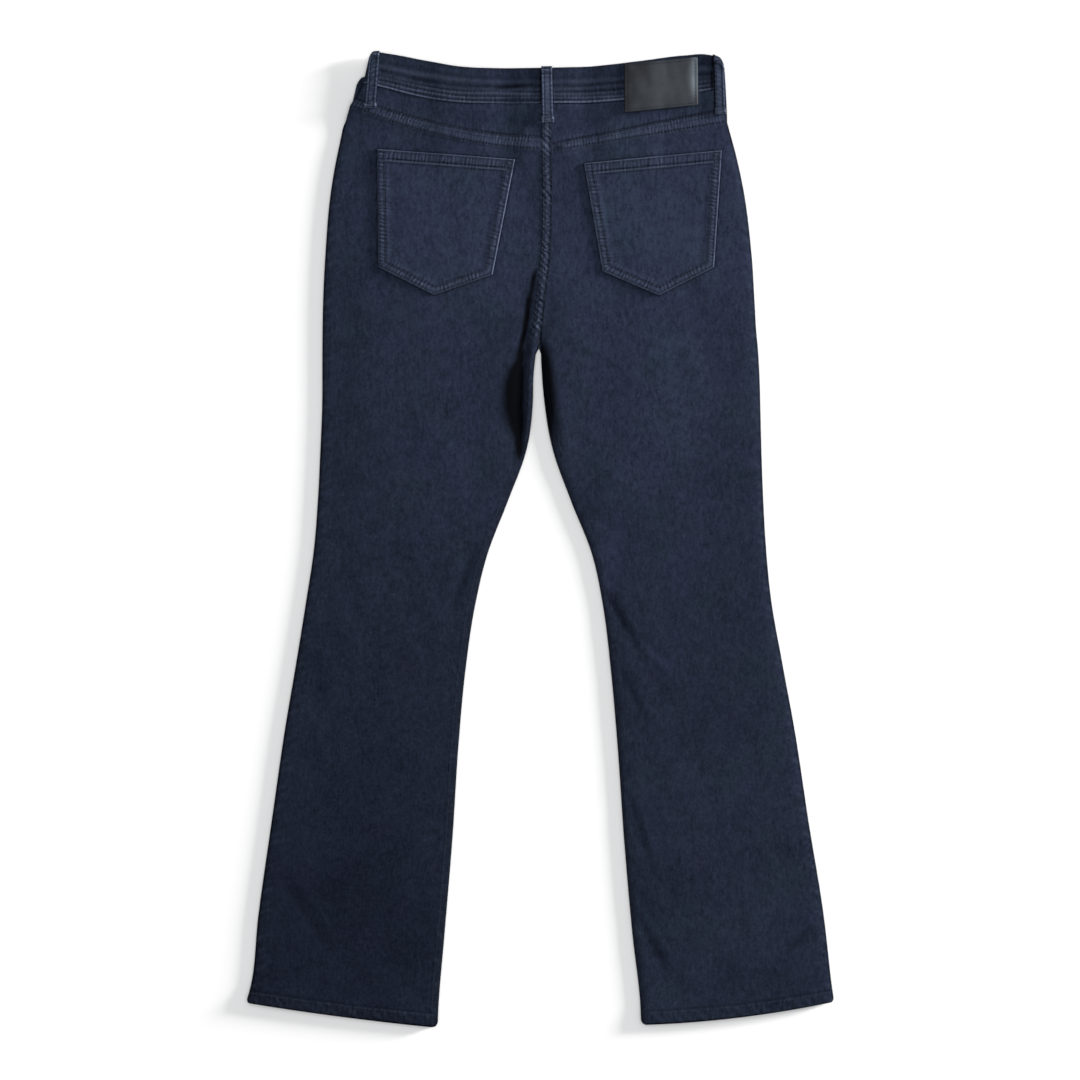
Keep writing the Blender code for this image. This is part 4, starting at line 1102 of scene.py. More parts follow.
def felled(along, across, width, rise, pitch, slant, seed, rows=None, strength=1.0, step=0.7):
    """Height, wear and shade of a felled seam with two rows of stitching."""
    first_row, second_row = rows or seam_rows(width)
    on_seam = ramp(width + 0.7, width - 0.3, across)
    raised = ramp(width + step, width - 0.3, across)
    beside = np.exp(-np.maximum(across - width, 0.0) / 6.0) * (1.0 - on_seam)
    wave = roping(along, across, pitch, slant, seed)
    fine = roping(along, across, pitch * 0.47, slant * 0.5, seed + 3.0)
    sunk = peak(across - first_row, 0.75) + peak(across - second_row, 0.75)
    height = raised * rise + on_seam * (0.2 * wave + 0.08 * fine - 0.22 * sunk) + 0.14 * beside * wave
    tick = np.maximum(0.7 * wave + 0.5 * fine, 0.0) ** 1.4
    wear = on_seam * np.clip(0.10 + 0.62 * strength * tick, 0.0, 1.0) * (1.0 - 0.6 * sunk)
    wear = wear + 0.30 * strength * beside * tick
    # Painted shade in the sunk rows of thread, in the ripple's troughs and in the groove beside the
    # fold.
    groove = peak(across - width - 0.7, 0.7)
    trough = np.maximum(-0.7 * wave - 0.4 * fine, 0.0)
    shade = on_seam * (0.5 * sunk + 0.42 * strength * trough) + 0.42 * groove
    shade = shade + 0.2 * strength * beside * np.maximum(-wave, 0.0)
    return height, wear, shade


# A height in metres that is well above the jeans.
LOOK_FROM = 0.1


def read_surface(piece):
    """A way to find the height of a piece's upper face at points in millimetres."""
    mesh = piece.data
    corners = [vertex.co for vertex in mesh.vertices]
    tree = BVHTree.FromPolygons(corners, [tuple(face.vertices) for face in mesh.polygons])
    down = Vector((0.0, 0.0, -1.0))

    def heights(points):
        found = []
        for x, y in points:
            hit = tree.ray_cast(Vector((x * MM, y * MM, LOOK_FROM)), down)[0]
            found.append(np.nan if hit is None else hit.z / MM)
        return np.array(found)

    return heights


STITCH_LENGTH = 2.7
STITCH_STEP = 3.5
THREAD_RADIUS = 0.27
THREAD_FACETS = 6
THREAD_NAVY = (0.010, 0.013, 0.024)
THREAD_RUBBED = (0.024, 0.030, 0.050)
# A stitch's rings: their place along it, their share of its radius, and their height over
# the cloth. It is sunk at both ends.
STITCH_RINGS = (
    (0.0, 0.35, -0.22),
    (0.16, 0.95, 0.02),
    (0.5, 1.0, 0.10),
    (0.84, 0.95, 0.02),
    (1.0, 0.35, -0.22),
)


def stitches_along(line, step=STITCH_STEP, length=STITCH_LENGTH):
    """The two ends of each stitch along a line of points."""
    line = np.asarray(line, float)
    run = np.concatenate([[0.0], np.cumsum(np.hypot(*np.diff(line, axis=0).T))])
    count = max(1, int(run[-1] / step))
    start = (np.arange(count) + 0.5) * run[-1] / count - length / 2.0

    def at(places):
        return np.stack([np.interp(places, run, line[:, column]) for column in (0, 1)], axis=1)

    return at(start), at(start + length)


def add_thread(name, ends, heights):
    """A mesh of short stitches of thread that lie on a piece, from their ends."""
    first = np.concatenate([pair[0] for pair in ends])
    last = np.concatenate([pair[1] for pair in ends])
    first_z, last_z = heights(first), heights(last)
    middle_z = heights((first + last) / 2.0)
    kept = ~(np.isnan(first_z) | np.isnan(last_z) | np.isnan(middle_z))
    first, last = first[kept], last[kept]
    level = np.maximum(np.minimum(first_z, last_z)[kept], middle_z[kept] - 0.1)
    run = last - first
    run = run / np.hypot(run[:, 0], run[:, 1])[:, None]
    beside = np.stack([-run[:, 1], run[:, 0], np.zeros(len(run))], axis=1)
    rings = []
    for part, share, rise in STITCH_RINGS:
        centre = mix(first, last, part)
        height = mix(first_z[kept], last_z[kept], part)
        height = mix(height, level, 0.3) + rise
        centre = np.concatenate([centre, height[:, None]], axis=1)
        for facet in range(THREAD_FACETS):
            angle = 2.0 * math.pi * (facet + 0.5) / THREAD_FACETS
            up = np.array((0.0, 0.0, math.sin(angle)))
            rings.append(centre + THREAD_RADIUS * share * (math.cos(angle) * beside + up))
    points = np.stack(rings, axis=1)
    count, each = points.shape[:2]
    faces = []
    for ring in range(each // THREAD_FACETS - 1):
        for facet in range(THREAD_FACETS):
            after = (facet + 1) % THREAD_FACETS
            low, high = ring * THREAD_FACETS, (ring + 1) * THREAD_FACETS
            faces.append((low + facet, high + facet, high + after, low + after))
    shift = np.arange(count)[:, None, None] * each
    quads = (np.array(faces)[None] + shift).reshape(-1, 4).tolist()
    caps = [list(range(THREAD_FACETS)), list(range(each - 1, each - THREAD_FACETS - 1, -1))]
    quads += (np.array(caps)[None] + shift).reshape(-1, THREAD_FACETS).tolist()
    mesh = bpy.data.meshes.new(name)
    mesh.from_pydata((points.reshape(-1, 3) * MM).tolist(), [], quads)
    mesh.shade_smooth()
    return put_in_scene(name, mesh)


def thread_material(name):
    """Spun sewing thread, a little lighter where it has rubbed."""
    material, tree, shader, place = new_material(name)
    uneven = add_noise(tree, place, 900.0, 2.0)
    colour = mix_colour(tree, clamp(tree, uneven), THREAD_NAVY, THREAD_RUBBED)
    tree.links.new(colour, shader.inputs["Base Color"])
    shader.inputs["Roughness"].default_value = 0.85
    shader.inputs["Specular IOR Level"].default_value = 0.08
    add_bump(tree, shader, add_noise(tree, place, 4500.0, 1.0), strength=0.5, distance=0.0001)
    return material


navy_thread = thread_material("navy thread")
back_denim = denim_material("back denim")


def sew(name, ends, piece):
    """Sew stitches, given by their ends, onto a piece."""
    thread = add_thread(name, ends, read_surface(piece))
    thread.data.materials.append(navy_thread)
    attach(thread, "root")


# Where the turned top edge's rows lie, as parts of its width.
LAP_ROWS = np.array((
    1.0, 0.97, 0.93, 0.88, 0.82, 0.75, 0.68, 0.6, 0.52, 0.44, 0.36, 0.28, 0.2, 0.13, 0.06,
))[:, None]
# How far apart the short rubbed strokes lie along each seam.
YOKE_TICK_PITCH = 3.8
CENTRE_TICK_PITCH = 7.0
HEM_TICK_PITCH = 6.0
# The hem's thread lies this far below the hem's upper edge, and the inside leg's thread
# begins this far below the crotch.
HEM_ROW = 1.8
INSEAM_THREAD_FROM = 125.0
LEG_COLUMNS = 70
# Rows lie this close in the seat, which is this long, in the leg and in the hem.
SEAT_LENGTH = 250.0
SEAT_STEP, LEG_STEP, HEM_STEP = 2.4, 3.3, 1.3
HEM_MARGIN = 4.0
BACK_EDGE_STEPS = (0.0, 0.4, 0.9, 1.5, 2.2, 3.2, 4.6, 6.4, 8.6, 11.4)
INNER_EDGE_STEPS = (
    0.0, 0.35, 0.8, 1.3, 1.8, 2.6, 3.5, 4.4, 5.3, 6.2,
    7.0, 7.7, 8.4, 9.1, 9.7, 10.3, 11.2, 12.6, 14.6, 17.2,
)


def centre_seam(y, inner_away):
    """Height, wear, shade and run of strokes of the felled centre back seam."""
    height, wear, shade = felled(
        -y, inner_away, CENTRE_SEAM_WIDTH, SEAM_RAISE, pitch=7.2, slant=0.9, seed=6.0, strength=1.35,
    )
    run = (0.9 * inner_away - y) / CENTRE_TICK_PITCH + 0.3 * wobble(y, seed=6.0)
    return height, wear, shade, run


def centre_threads(low_y, high_y, count):
    """Two lines of thread beside the centre back seam."""
    rise = np.linspace(low_y, high_y, count)
    seam_x = edge_x("left", "inner", rise)
    return [np.stack([seam_x - inset, rise], axis=1) for inset in seam_rows(CENTRE_SEAM_WIDTH)]


for side in ("left", "right"):
    table = OUTLINE[side][YOKE_SECTION:]
    length = (table[0, 1] + table[0, 3] - table[-1, 1] - table[-1, 3]) / 2.0
    downs = np.concatenate([
        even_steps(0.0, SEAT_LENGTH, SEAT_STEP),
        even_steps(SEAT_LENGTH, length - HEM_DEPTH - HEM_MARGIN, LEG_STEP)[1:],
        even_steps(length - HEM_DEPTH - HEM_MARGIN, length - 2.0, HEM_STEP)[1:],
        length - np.array((1.3, 0.8, 0.4, 0.0)),
    ])
    sections = read_sections(table, downs)
    widths = np.hypot(sections[:, 2] - sections[:, 0], sections[:, 3] - sections[:, 1])
    places = np.stack([
        across_places(width, BACK_EDGE_STEPS, INNER_EDGE_STEPS, LEG_COLUMNS) for width in widths
    ])
    x, y = section_points(with_hem_corners(side, sections), places)
    # The turned top edge goes on up over the yoke, along lines towards the waist seam.
    waist = OUTLINE[side][YOKE_SECTION - 1]
    towards_x = mix(waist[0], waist[2], places[0])
    towards_y = band_low_y(BACK_BAND, towards_x) - SEAM_GAP
    lap = mix(*YOKE_LAPS[side], places[0])
    share = lap / np.hypot(towards_x - x[0], towards_y - y[0])
    seam_x, seam_y = x[0], y[0]
    x = np.concatenate([mix(seam_x, towards_x, share * LAP_ROWS), x])
    y = np.concatenate([mix(seam_y, towards_y, share * LAP_ROWS), y])
    from_top = np.concatenate([lap * (1.0 - LAP_ROWS), lap + downs[:, None]])
    along_top = np.broadcast_to(places[0] * widths[0], x.shape)
    above_hem = hem_height(side, x, y)
    inner_away = np.abs(x - edge_x(side, "inner", y))
    outer_away = np.abs(x - edge_x(side, "outer", y))

    under = back_under(side, x, y)
    wall = edge_wall(side, x, y)
    height, wear, shade = felled(
        along_top, from_top, lap, SEAM_RAISE, pitch=7.4, slant=0.12, seed=2.0, strength=0.3,
    )
    relief = height * rimmed(0.35, from_top, 1.4)
    run = (along_top + 0.12 * from_top) / YOKE_TICK_PITCH + 0.3 * wobble(along_top * 0.5, seed=2.0)
    tick = (0.52 + 0.3 * wobble(along_top * 0.4, seed=7.0)) * ramp(lap + 3.0, lap - 2.0, from_top)
    # Painted shade along the lap's folded top, near its lower edge and along a line between.
    shade = np.maximum(shade, 0.55 * peak(from_top - 0.6, 0.8))
    shade = np.maximum(shade, 0.48 * peak(from_top - lap + 1.0, 0.9))
    shade = np.maximum(shade, 0.32 * peak(from_top - 0.4 * lap, 0.8))

    if side == "left":
        seam = ramp(CROTCH_Y + 4.0, CROTCH_Y + 26.0, y)
        centre_height, centre_wear, centre_shade, centre_run = centre_seam(y, inner_away)
        relief = np.where(centre_height * seam > relief, centre_height * seam, relief)
        wear = np.maximum(wear, centre_wear * seam)
        shade = np.maximum(shade * (inner_away > CENTRE_SEAM_WIDTH), centre_shade * seam)
        on_seam = inner_away < CENTRE_SEAM_WIDTH + 4.0
        run = np.where(on_seam, centre_run, run)
        fringe = ramp(CENTRE_SEAM_WIDTH + 4.0, CENTRE_SEAM_WIDTH - 1.0, inner_away)
        tick = np.where(on_seam, 0.85 * seam * fringe, tick)
        # Painted shade along the centre seam's folded edge.
        shade = np.maximum(shade, 0.6 * seam * peak(inner_away - 0.4, 0.7))

    leg = ramp(CROTCH_Y - 20.0, CROTCH_Y - 60.0, y)
    seam_height, seam_wear, seam_shade = felled(
        -y, inner_away, INSEAM_WIDTH, 0.16, pitch=8.0, slant=0.4, seed=9.0,
    )
    relief = relief + leg * seam_height * ramp(HEM_DEPTH, HEM_DEPTH + 4.0, above_hem)
    wear = np.maximum(wear, 0.22 * leg * seam_wear)
    # Painted shade along the inside leg, stronger on the left leg, whose inner edge faces the key lamp.
    inseam_shade = 0.42 if side == "left" else 0.24
    seam_shade = 0.35 * seam_shade + inseam_shade * ramp(INSEAM_WIDTH, 1.0, inner_away)
    shade = np.maximum(shade, leg * seam_shade)

    side_wave = roping(-y, outer_away, pitch=11.0, slant=0.5, seed=4.0)
    side_seam = np.exp(-outer_away / 7.0) * ramp(CROTCH_Y + 260.0, CROTCH_Y + 200.0, y)
    relief = relief + 0.14 * side_wave * side_seam * ramp(0.5, 3.0, outer_away)
    wear = np.maximum(wear, 0.3 * side_seam * np.maximum(side_wave, 0.0))

    in_hem = ramp(HEM_DEPTH + 0.5, HEM_DEPTH - 0.6, above_hem)
    hem_wave = roping(x, above_hem, pitch=12.5, slant=0.9, seed=12.0)
    hem_row = peak(above_hem - HEM_DEPTH + HEM_ROW, 0.8)
    last_round = rounded(above_hem, 1.5)
    hem_ripple = 0.14 * hem_wave * ramp(0.0, 4.0, above_hem)
    relief = relief + in_hem * (HEM_RAISE + hem_ripple) - 0.25 * hem_row
    above_row = np.exp(-np.abs(above_hem - HEM_DEPTH) / 9.0)
    relief = relief + 0.16 * hem_wave * above_row * (1.0 - in_hem)
    hem_tick = roping(x, above_hem, pitch=5.2, slant=0.15, seed=16.0)
    hem_wear = 0.06 * np.maximum(hem_wave, 0.0) + 0.10 * np.maximum(hem_tick, 0.0) ** 2
    wear = np.maximum(wear, in_hem * hem_wear)
    wear = np.maximum(wear, 0.22 * hem_row * np.maximum(hem_tick, 0.0))
    # Painted shade in the hem's ripple troughs, along its lower edge and just above its top.
    hem_shade = in_hem * 0.3 * np.maximum(-hem_wave, 0.0) + 0.7 * peak(above_hem, 2.2)
    shade = np.maximum(shade, hem_shade)
    shade = np.maximum(shade, 0.5 * peak(above_hem - HEM_DEPTH - 1.0, 1.0))
    # Painted shade in the deep folds, and paler cloth beside some creases.
    crease_shade = crease_height(CREASE_SHADE_PAINT[side], x, y)
    shade = np.maximum(shade, np.clip(crease_shade, 0.0, 0.98))
    shade = np.maximum(shade, pocket_edge_shade(side, x, y))
    # Painted shade at the legs' rounded edges.
    shade = np.maximum(shade, 0.75 * peak(side_away(side, x, y), 2.4))
    wear = wear * (1.0 - 0.8 * np.clip(crease_shade, 0.0, 1.0))
    on_hem = in_hem * (tick < 0.01)
    run = np.where(on_hem > 0.0, x / HEM_TICK_PITCH, run)
    tick = np.where(on_hem > 0.0, 0.10 * on_hem, tick)

    top = under + (wall + relief) * mix(0.5, 1.0, last_round)
    lap_fade = 0.15 * ramp(lap + 1.5, lap - 1.0, from_top)
    fade = washed_fade(side, x, y) + lap_fade - np.minimum(crease_shade, 0.0) - 0.07 * in_hem
    crossing_x, crossing_y, reach, paler = SEAM_CROSSINGS[side]
    crossing = peak(np.hypot(x - crossing_x, y - crossing_y), reach)
    # The pale knot is worn thread; the dark spot is painted shade.
    wear = wear + max(paler, 0.0) * crossing
    shade = np.maximum(shade, max(-paler, 0.0) * crossing)
    piece = add_cloth("leg_back_" + side, x, y, under, top, fade, wear, shade, run, tick)
    dress(piece, back_denim, "denim_back", "back_panel_" + side)
    cloth_area(x, y)

    lines = []
    for height_up in (lap - SEAM_ROWS[0], SEAM_ROWS[1]):
        part = share * height_up / lap
        row = np.stack([mix(seam_x, towards_x, part), mix(seam_y, towards_y, part)], axis=1)
        lines.append(row[4:-4])
    inner = sections[:, 2:4]
    inner = inner[inner[:, 1] < CROTCH_Y - INSEAM_THREAD_FROM]
    inner = inner[inner[:, 1] > inner[-1, 1] + HEM_DEPTH]
    away = -1.0 if side == "left" else 1.0
    for inset in seam_rows(INSEAM_WIDTH):
        lines.append(inner + np.array((away * inset, 0.0)))
    hem_x, hem_y = section_points(sections[-1:], np.linspace(0.02, 0.98, 60))
    lines.append(np.stack([hem_x[0], hem_y[0] + HEM_DEPTH - HEM_ROW], axis=1))
    if side == "left":
        lines += centre_threads(443.0, CROTCH_Y + 14.0, 120)
    sew("leg_stitching_" + side, [stitches_along(line) for line in lines], piece)


# Back yokes
# The shaped piece between each leg and the waistband. It is cut on the slant and sewn
# under the turned edge of the leg, and the left one carries on the centre back seam.

YOKE_COLUMNS = 110
YOKE_ROWS = np.concatenate([[0.0, 0.4, 1.0, 1.8], np.linspace(3.0, 100.0, 30)])[:, None] / 100.0
YOKE_THREAD_Y = (456.0, 504.0)

for side in ("left", "right"):
    seam = OUTLINE[side][YOKE_SECTION][None]
    waist = OUTLINE[side][YOKE_SECTION - 1]
    width = float(np.hypot(seam[0, 2] - seam[0, 0], seam[0, 3] - seam[0, 1]))
    places = across_places(width, BACK_EDGE_STEPS, INNER_EDGE_STEPS, YOKE_COLUMNS)
    low_x, low_y = section_points(seam, places)
    top_x = mix(waist[0], waist[2], places)[None]
    top_y = band_low_y(BACK_BAND, top_x) - SEAM_GAP
    run = np.hypot(top_x - low_x, top_y - low_y)
    lap_end = mix(*YOKE_LAPS[side], places) + SEAM_GAP
    up = lap_end + (run - lap_end) * YOKE_ROWS
    x = mix(low_x, top_x, up / run)
    y = mix(low_y, top_y, up / run)
    inner_away = np.abs(x - edge_x(side, "inner", y))
    outer_away = np.abs(x - edge_x(side, "outer", y))
    under = back_under(side, x, y)
    wall = edge_wall(side, x, y)
    along = np.broadcast_to(places * width, x.shape)
    low_wave = roping(along, up, pitch=4.6, slant=0.12, seed=2.0)
    high_wave = roping(along, up, pitch=7.4, slant=0.2, seed=14.0)
    beside = np.exp(-(up - lap_end) / 5.0)
    above = np.exp(-(run - up) / 5.0)
    relief = 0.16 * beside * low_wave + 0.14 * above * high_wave
    wear = 0.34 * beside * np.maximum(low_wave, 0.0) + 0.2 * above * np.maximum(high_wave, 0.0)
    # Painted shade where the leg's turned edge lies over the yoke, and in the ripple's troughs.
    shade = (0.5 + 0.25 * wobble(along * 0.6, 5.0)) * peak(up - lap_end, 1.3)
    shade = shade + 0.2 * beside * np.maximum(-low_wave, 0.0)
    run = along / YOKE_TICK_PITCH
    tick = 0.2 * np.exp(-(up - lap_end) / 2.5)
    if side == "left":
        height, seam_wear, seam_shade, run = centre_seam(y, inner_away)
        relief = np.where(inner_away < CENTRE_SEAM_WIDTH + 0.7, height, relief)
        wear = np.maximum(wear, seam_wear)
        shade = np.maximum(shade, seam_shade)
        tick = 0.85 * ramp(CENTRE_SEAM_WIDTH + 2.0, CENTRE_SEAM_WIDTH - 1.0, inner_away)
        wear = wear + 0.16 * (inner_away < CENTRE_SEAM_WIDTH)
    # Painted shade at the rounded side edge.
    shade = np.maximum(shade, 0.6 * peak(outer_away, 2.0))
    fade = washed_fade(side, x, y) + 0.03
    top = under + wall + relief
    piece = add_cloth("yoke_cloth_" + side, x, y, under, top, fade, wear, shade, run, tick)
    dress(piece, back_denim, "denim_back", "yoke_" + side)
    cloth_area(x, y)
    if side == "left":
        lines = centre_threads(*YOKE_THREAD_Y, 20)
        sew("yoke_stitching", [stitches_along(line) for line in lines], piece)


# Back pockets
# A patch pocket on each leg: denim with its edges turned in and a folded top hem, sewn
# down with two rows of thread and a short bar of close stitches at each top corner.

POCKET_WALL = 1.2
POCKET_BORDER = 9.0
POCKET_HEM = 13.0
POCKET_RAISE = 0.7
POCKET_ROWS = (2.2, 8.0)
POCKET_STEPS = (0.0, 0.4, 1.0, 1.9, 3.0)
POCKET_DEPTH = 150.0
POCKET_COLUMNS, POCKET_DOWNS = 124, 112
# How pale the turned edges have rubbed: right side, lower right, lower left, left side.
POCKET_EDGES = {"left": (1.0, 0.45, 0.85, 0.3), "right": (0.75, 0.5, 0.85, 1.0)}
POCKET_TICK_PITCHES = {"left": (7.6, 5.4, 5.4, 4.6), "right": (4.6, 5.4, 5.4, 7.6)}
POCKET_HEM_PITCH = 5.2
# How far above the hem's lower fold its cloth is drawn in, and its row of thread lies.
POCKET_HEM_SUNK = 2.6
POCKET_HEM_ROW = 1.8
TACK_LENGTH = 7.5
TACK_WIDTH = 1.7
TACK_STEP = 0.55


def inset_line(corners, inset):
    """Corners moved in from the edges on both sides of them, for a row of stitching."""
    moved = []
    for before, here, after in zip(corners, corners[1:], corners[2:]):
        first = np.subtract(here, before) / np.hypot(*np.subtract(here, before))
        second = np.subtract(after, here) / np.hypot(*np.subtract(after, here))
        first_in = np.array((first[1], -first[0]))
        second_in = np.array((second[1], -second[0]))
        middle = first_in + second_in
        moved.append(np.array(here) + middle * inset * 2.0 / np.dot(middle, middle))
    return np.array(moved)


def bar_tack(middle, direction, length=TACK_LENGTH, width=TACK_WIDTH):
    """The ends of the close stitches of a bar tack, which lie across it."""
    direction = np.array(direction) / np.hypot(*direction)
    across = np.array((-direction[1], direction[0]))
    places = np.arange(-length / 2.0, length / 2.0, TACK_STEP)[:, None]
    centre = np.array(middle) + places * direction
    return centre - across * width / 2.0, centre + across * width / 2.0


for side in ("left", "right"):
    top_left, top_right, low_right, point, low_left = (np.array(corner) for corner in POCKETS[side])
    width = top_right[0] - top_left[0]
    across = across_places(width, POCKET_STEPS, POCKET_STEPS, POCKET_COLUMNS)[:, None]
    top_line = mix(top_left, top_right, across)
    low_line = np.where(
        across <= 0.5,
        mix(low_left, point, across * 2.0),
        mix(point, low_right, across * 2.0 - 1.0),
    )
    down = across_places(POCKET_DEPTH, POCKET_STEPS, POCKET_STEPS, POCKET_DOWNS)[:, None]
    x = mix(top_line[:, 0], low_line[:, 0], down)
    y = mix(top_line[:, 1], low_line[:, 1], down)

    corners = [top_left, top_right, low_right, point, low_left, top_left]
    edges = [edge_frame(first, last, x, y) for first, last in zip(corners, corners[1:])]
    from_top = edges[0][1]
    inside = np.stack([edge[1] for edge in edges[1:]])
    nearest = inside.argmin(axis=0)
    from_edge = inside.min(axis=0)
    alongs = np.stack([edge[0] + 37.0 * place for place, edge in enumerate(edges[1:])])
    along = np.take_along_axis(alongs, nearest[None], 0)[0]
    height, wear, shade = felled(
        along, from_edge, POCKET_BORDER, POCKET_RAISE, pitch=4.4, slant=0.12, seed=3.0,
        rows=POCKET_ROWS, strength=1.15, step=7.0,
    )
    hem_rows = (POCKET_HEM - POCKET_HEM_SUNK, POCKET_HEM - POCKET_HEM_SUNK)
    hem_height_in, hem_wear, hem_shade = felled(
        edges[0][0], from_top, POCKET_HEM, POCKET_RAISE, pitch=4.2, slant=0.10, seed=8.0,
        rows=hem_rows, step=3.0,
    )
    relief = np.maximum(height, hem_height_in)
    wear = np.maximum(wear, 0.75 * hem_wear)
    shade = np.maximum(shade, 0.8 * hem_shade)
    edge = np.minimum(from_edge, from_top)
    relief = relief + 0.40 * ramp(6.0, 30.0, edge)
    crisp = np.where(from_top < from_edge, 0.8, np.array(POCKET_EDGES[side])[nearest])
    broken = np.clip(0.85 + 0.35 * wobble(along * 1.7, 31.0), 0.35, 1.0)
    wear = wear * (0.35 + 0.65 * ramp(1.0, 3.0, edge))
    wear = np.maximum(wear, broken * crisp * peak(edge - 0.6, 0.9))
    hem_line = peak(from_top - POCKET_HEM + 0.3, 0.9)
    hem_line = hem_line * ramp(POCKET_BORDER - 3.0, POCKET_BORDER, from_edge)
    wear = np.maximum(wear, 0.62 * hem_line)
    # Painted shade below the hem, just inside the pale edge, and along edges that are less rubbed.
    shade = np.maximum(shade, 0.5 * peak(from_top - POCKET_HEM - 1.4, 0.8) * (from_edge > 6.0))
    shade = np.maximum(shade, 0.5 * peak(edge - 2.3, 0.8))
    shade = np.maximum(shade, 0.5 * (1.0 - crisp) * peak(edge, 1.6))
    rim = rimmed(0.55, edge, 1.3)
    under = back_top(side, x, y) + SEAM_GAP
    top = under + (POCKET_WALL + relief) * rim
    fade = washed_fade(side, x, y) + 0.08 + 0.05 * ramp(14.0, 50.0, edge)
    in_hem = from_top < POCKET_HEM
    pitch = np.array(POCKET_TICK_PITCHES[side])[nearest]
    edge_run = (along + 0.4 * from_edge) / pitch
    run = np.where(in_hem & (from_edge > 3.0), edges[0][0] / POCKET_HEM_PITCH, edge_run)
    tick = np.maximum(ramp(POCKET_BORDER + 2.0, POCKET_BORDER - 2.0, from_edge), 0.55 * in_hem)
    tick = tick * ramp(1.0, 3.0, edge)
    near_point = peak(np.hypot(x - point[0], y - point[1] - 8.0), 9.0)
    near_corner = peak(np.hypot(x - low_right[0], y - low_right[1] - 5.0), 8.0)
    near_tack = peak(np.hypot(x - top_left[0] - 6.0, y - top_left[1] + 7.0), 7.0)
    fade = fade + 0.3 * near_point + 0.25 * near_corner + 0.32 * near_tack
    piece = add_cloth("pocket_" + side, x, y, under, top, fade, wear, shade, run, 0.45 * tick)
    dress(piece, back_denim, "denim_back", "back_pocket_" + side)
    # The turned edges and the hem add about a fifth to what shows.
    area = cloth_area(x, y) * 1.22

    lines = []
    clockwise = [top_left, top_right, low_right, point, low_left, top_left, top_right]
    for inset in POCKET_ROWS:
        moved = inset_line(clockwise, inset)
        moved[[0, 4]] += (0.0, inset - 2.0)
        lines.append(moved)
    hem_run = (top_right - top_left) / np.hypot(*(top_right - top_left))
    hem_down = np.array((hem_run[1], -hem_run[0]))
    hem_start = top_left + hem_down * (POCKET_HEM - POCKET_HEM_ROW)
    lines.append(np.stack([hem_start + hem_run * 8.5, hem_start + hem_run * (width - 10.0)]))
    ends = [stitches_along(line) for line in lines]
    for corner, turn in ((top_left, 1.0), (top_right, -1.0)):
        ends.append(bar_tack(corner + hem_run * turn * 4.6 + hem_down * 1.9, hem_run))
    sew("pocket_stitching_" + side, ends, piece)


# Back of the waistband
# One folded strip of denim over the waist seam, stiffened inside, with rows of thread
# near its lower edge and one below the fold. It puckers along both.

BAND_STITCH_UPS = (4.0, 8.8)
BAND_TOP_STITCH = 2.8
BAND_ROW_INSET = 3.0
BAND_TICK_PITCH = 4.2
# Soft ridges along it: their height above its lower edge, reach, rise and paleness; below zero, painted
# shade in a trough.
BAND_RIDGES = (
    (1.3, 1.0, 0.10, 1.25),
    (6.4, 1.3, 0.16, 0.44),
    (11.2, 1.5, 0.20, 0.34),
    (13.9, 1.0, -0.16, -0.46),
    (16.4, 1.8, 0.16, 0.16),
    (20.4, 2.2, -0.24, -0.34),
    (25.2, 2.8, 0.28, 0.18),
    (30.0, 2.4, -0.12, -0.20),
)
BAND_CREASE = ((-54.5, 523.9, -30.0, 526.6, -3.5, 529.0, 2.6, -0.45),)


def band_level(side, x, y):
    """The upper face of the waistband between its stitching."""
    return back_under(side, x, y) - BAND_SUNK + BAND_WALL


# The belt loops over it: the x and y of the middle of their top and bottom ends.
BACK_LOOPS = {
    "belt_loop_centre": (7.6, 550.6, 9.0, 484.5),
    "belt_loop_back_left": (-192.0, 566.0, -197.0, 501.0),
    "belt_loop_back_right": (206.4, 560.0, 208.2, 494.0),
}

x, y, along, up, length, height = band_grid(BACK_BAND, 1.6, (0.0, 0.4, 1.0, 1.8, 2.8), 26)
centre_x = OUTLINE["left"][0, 2]
on_left = x < centre_x
under = np.where(on_left, back_under("left", x, y), back_under("right", x, y)) - BAND_SUNK
end_away = np.minimum(along, length - along)
fold_away = height - up
rim = np.minimum(rimmed(0.55, fold_away, 1.8), rimmed(0.55, end_away, 1.4))
rim = np.minimum(rim, rimmed(0.62, up, 1.2))
low_wave = roping(along, up, pitch=5.6, slant=0.25, seed=21.0)
high_wave = roping(along, up, pitch=7.2, slant=0.35, seed=25.0)
relief = 0.22 * low_wave * np.exp(-np.maximum(up - 9.0, 0.0) / 4.0)
relief = relief + 0.16 * high_wave * np.exp(-fold_away / 5.0)
shade = 0.0
# Painted shade along the two lower rows of thread.
for place in BAND_STITCH_UPS:
    row = peak(up - place, 0.8)
    relief = relief - 0.26 * row
    shade = shade + 0.7 * row * np.clip(0.8 + 0.4 * wobble(along, place), 0.3, 1.0)
wear = 0.0
for place, reach, rise, pale in BAND_RIDGES:
    steady = 0.25 * np.sin(along * 0.021 + place) + 0.2 * wobble(along * 0.3, place)
    ridge = peak(up - place - 1.2 * wobble(along * 0.16, place), reach) * (1.0 + steady)
    relief = relief + rise * ridge
    wear = wear + max(pale, 0.0) * ridge * (0.8 + 0.35 * low_wave * (up < 13.0))
    shade = shade + max(-pale, 0.0) * ridge
row = peak(fold_away - BAND_TOP_STITCH, 0.8)
relief = relief - 0.22 * row + 0.12 * soft_waves(x * 1.7, y * 1.7)
relief = relief + crease_height(BAND_CREASE, x, y)
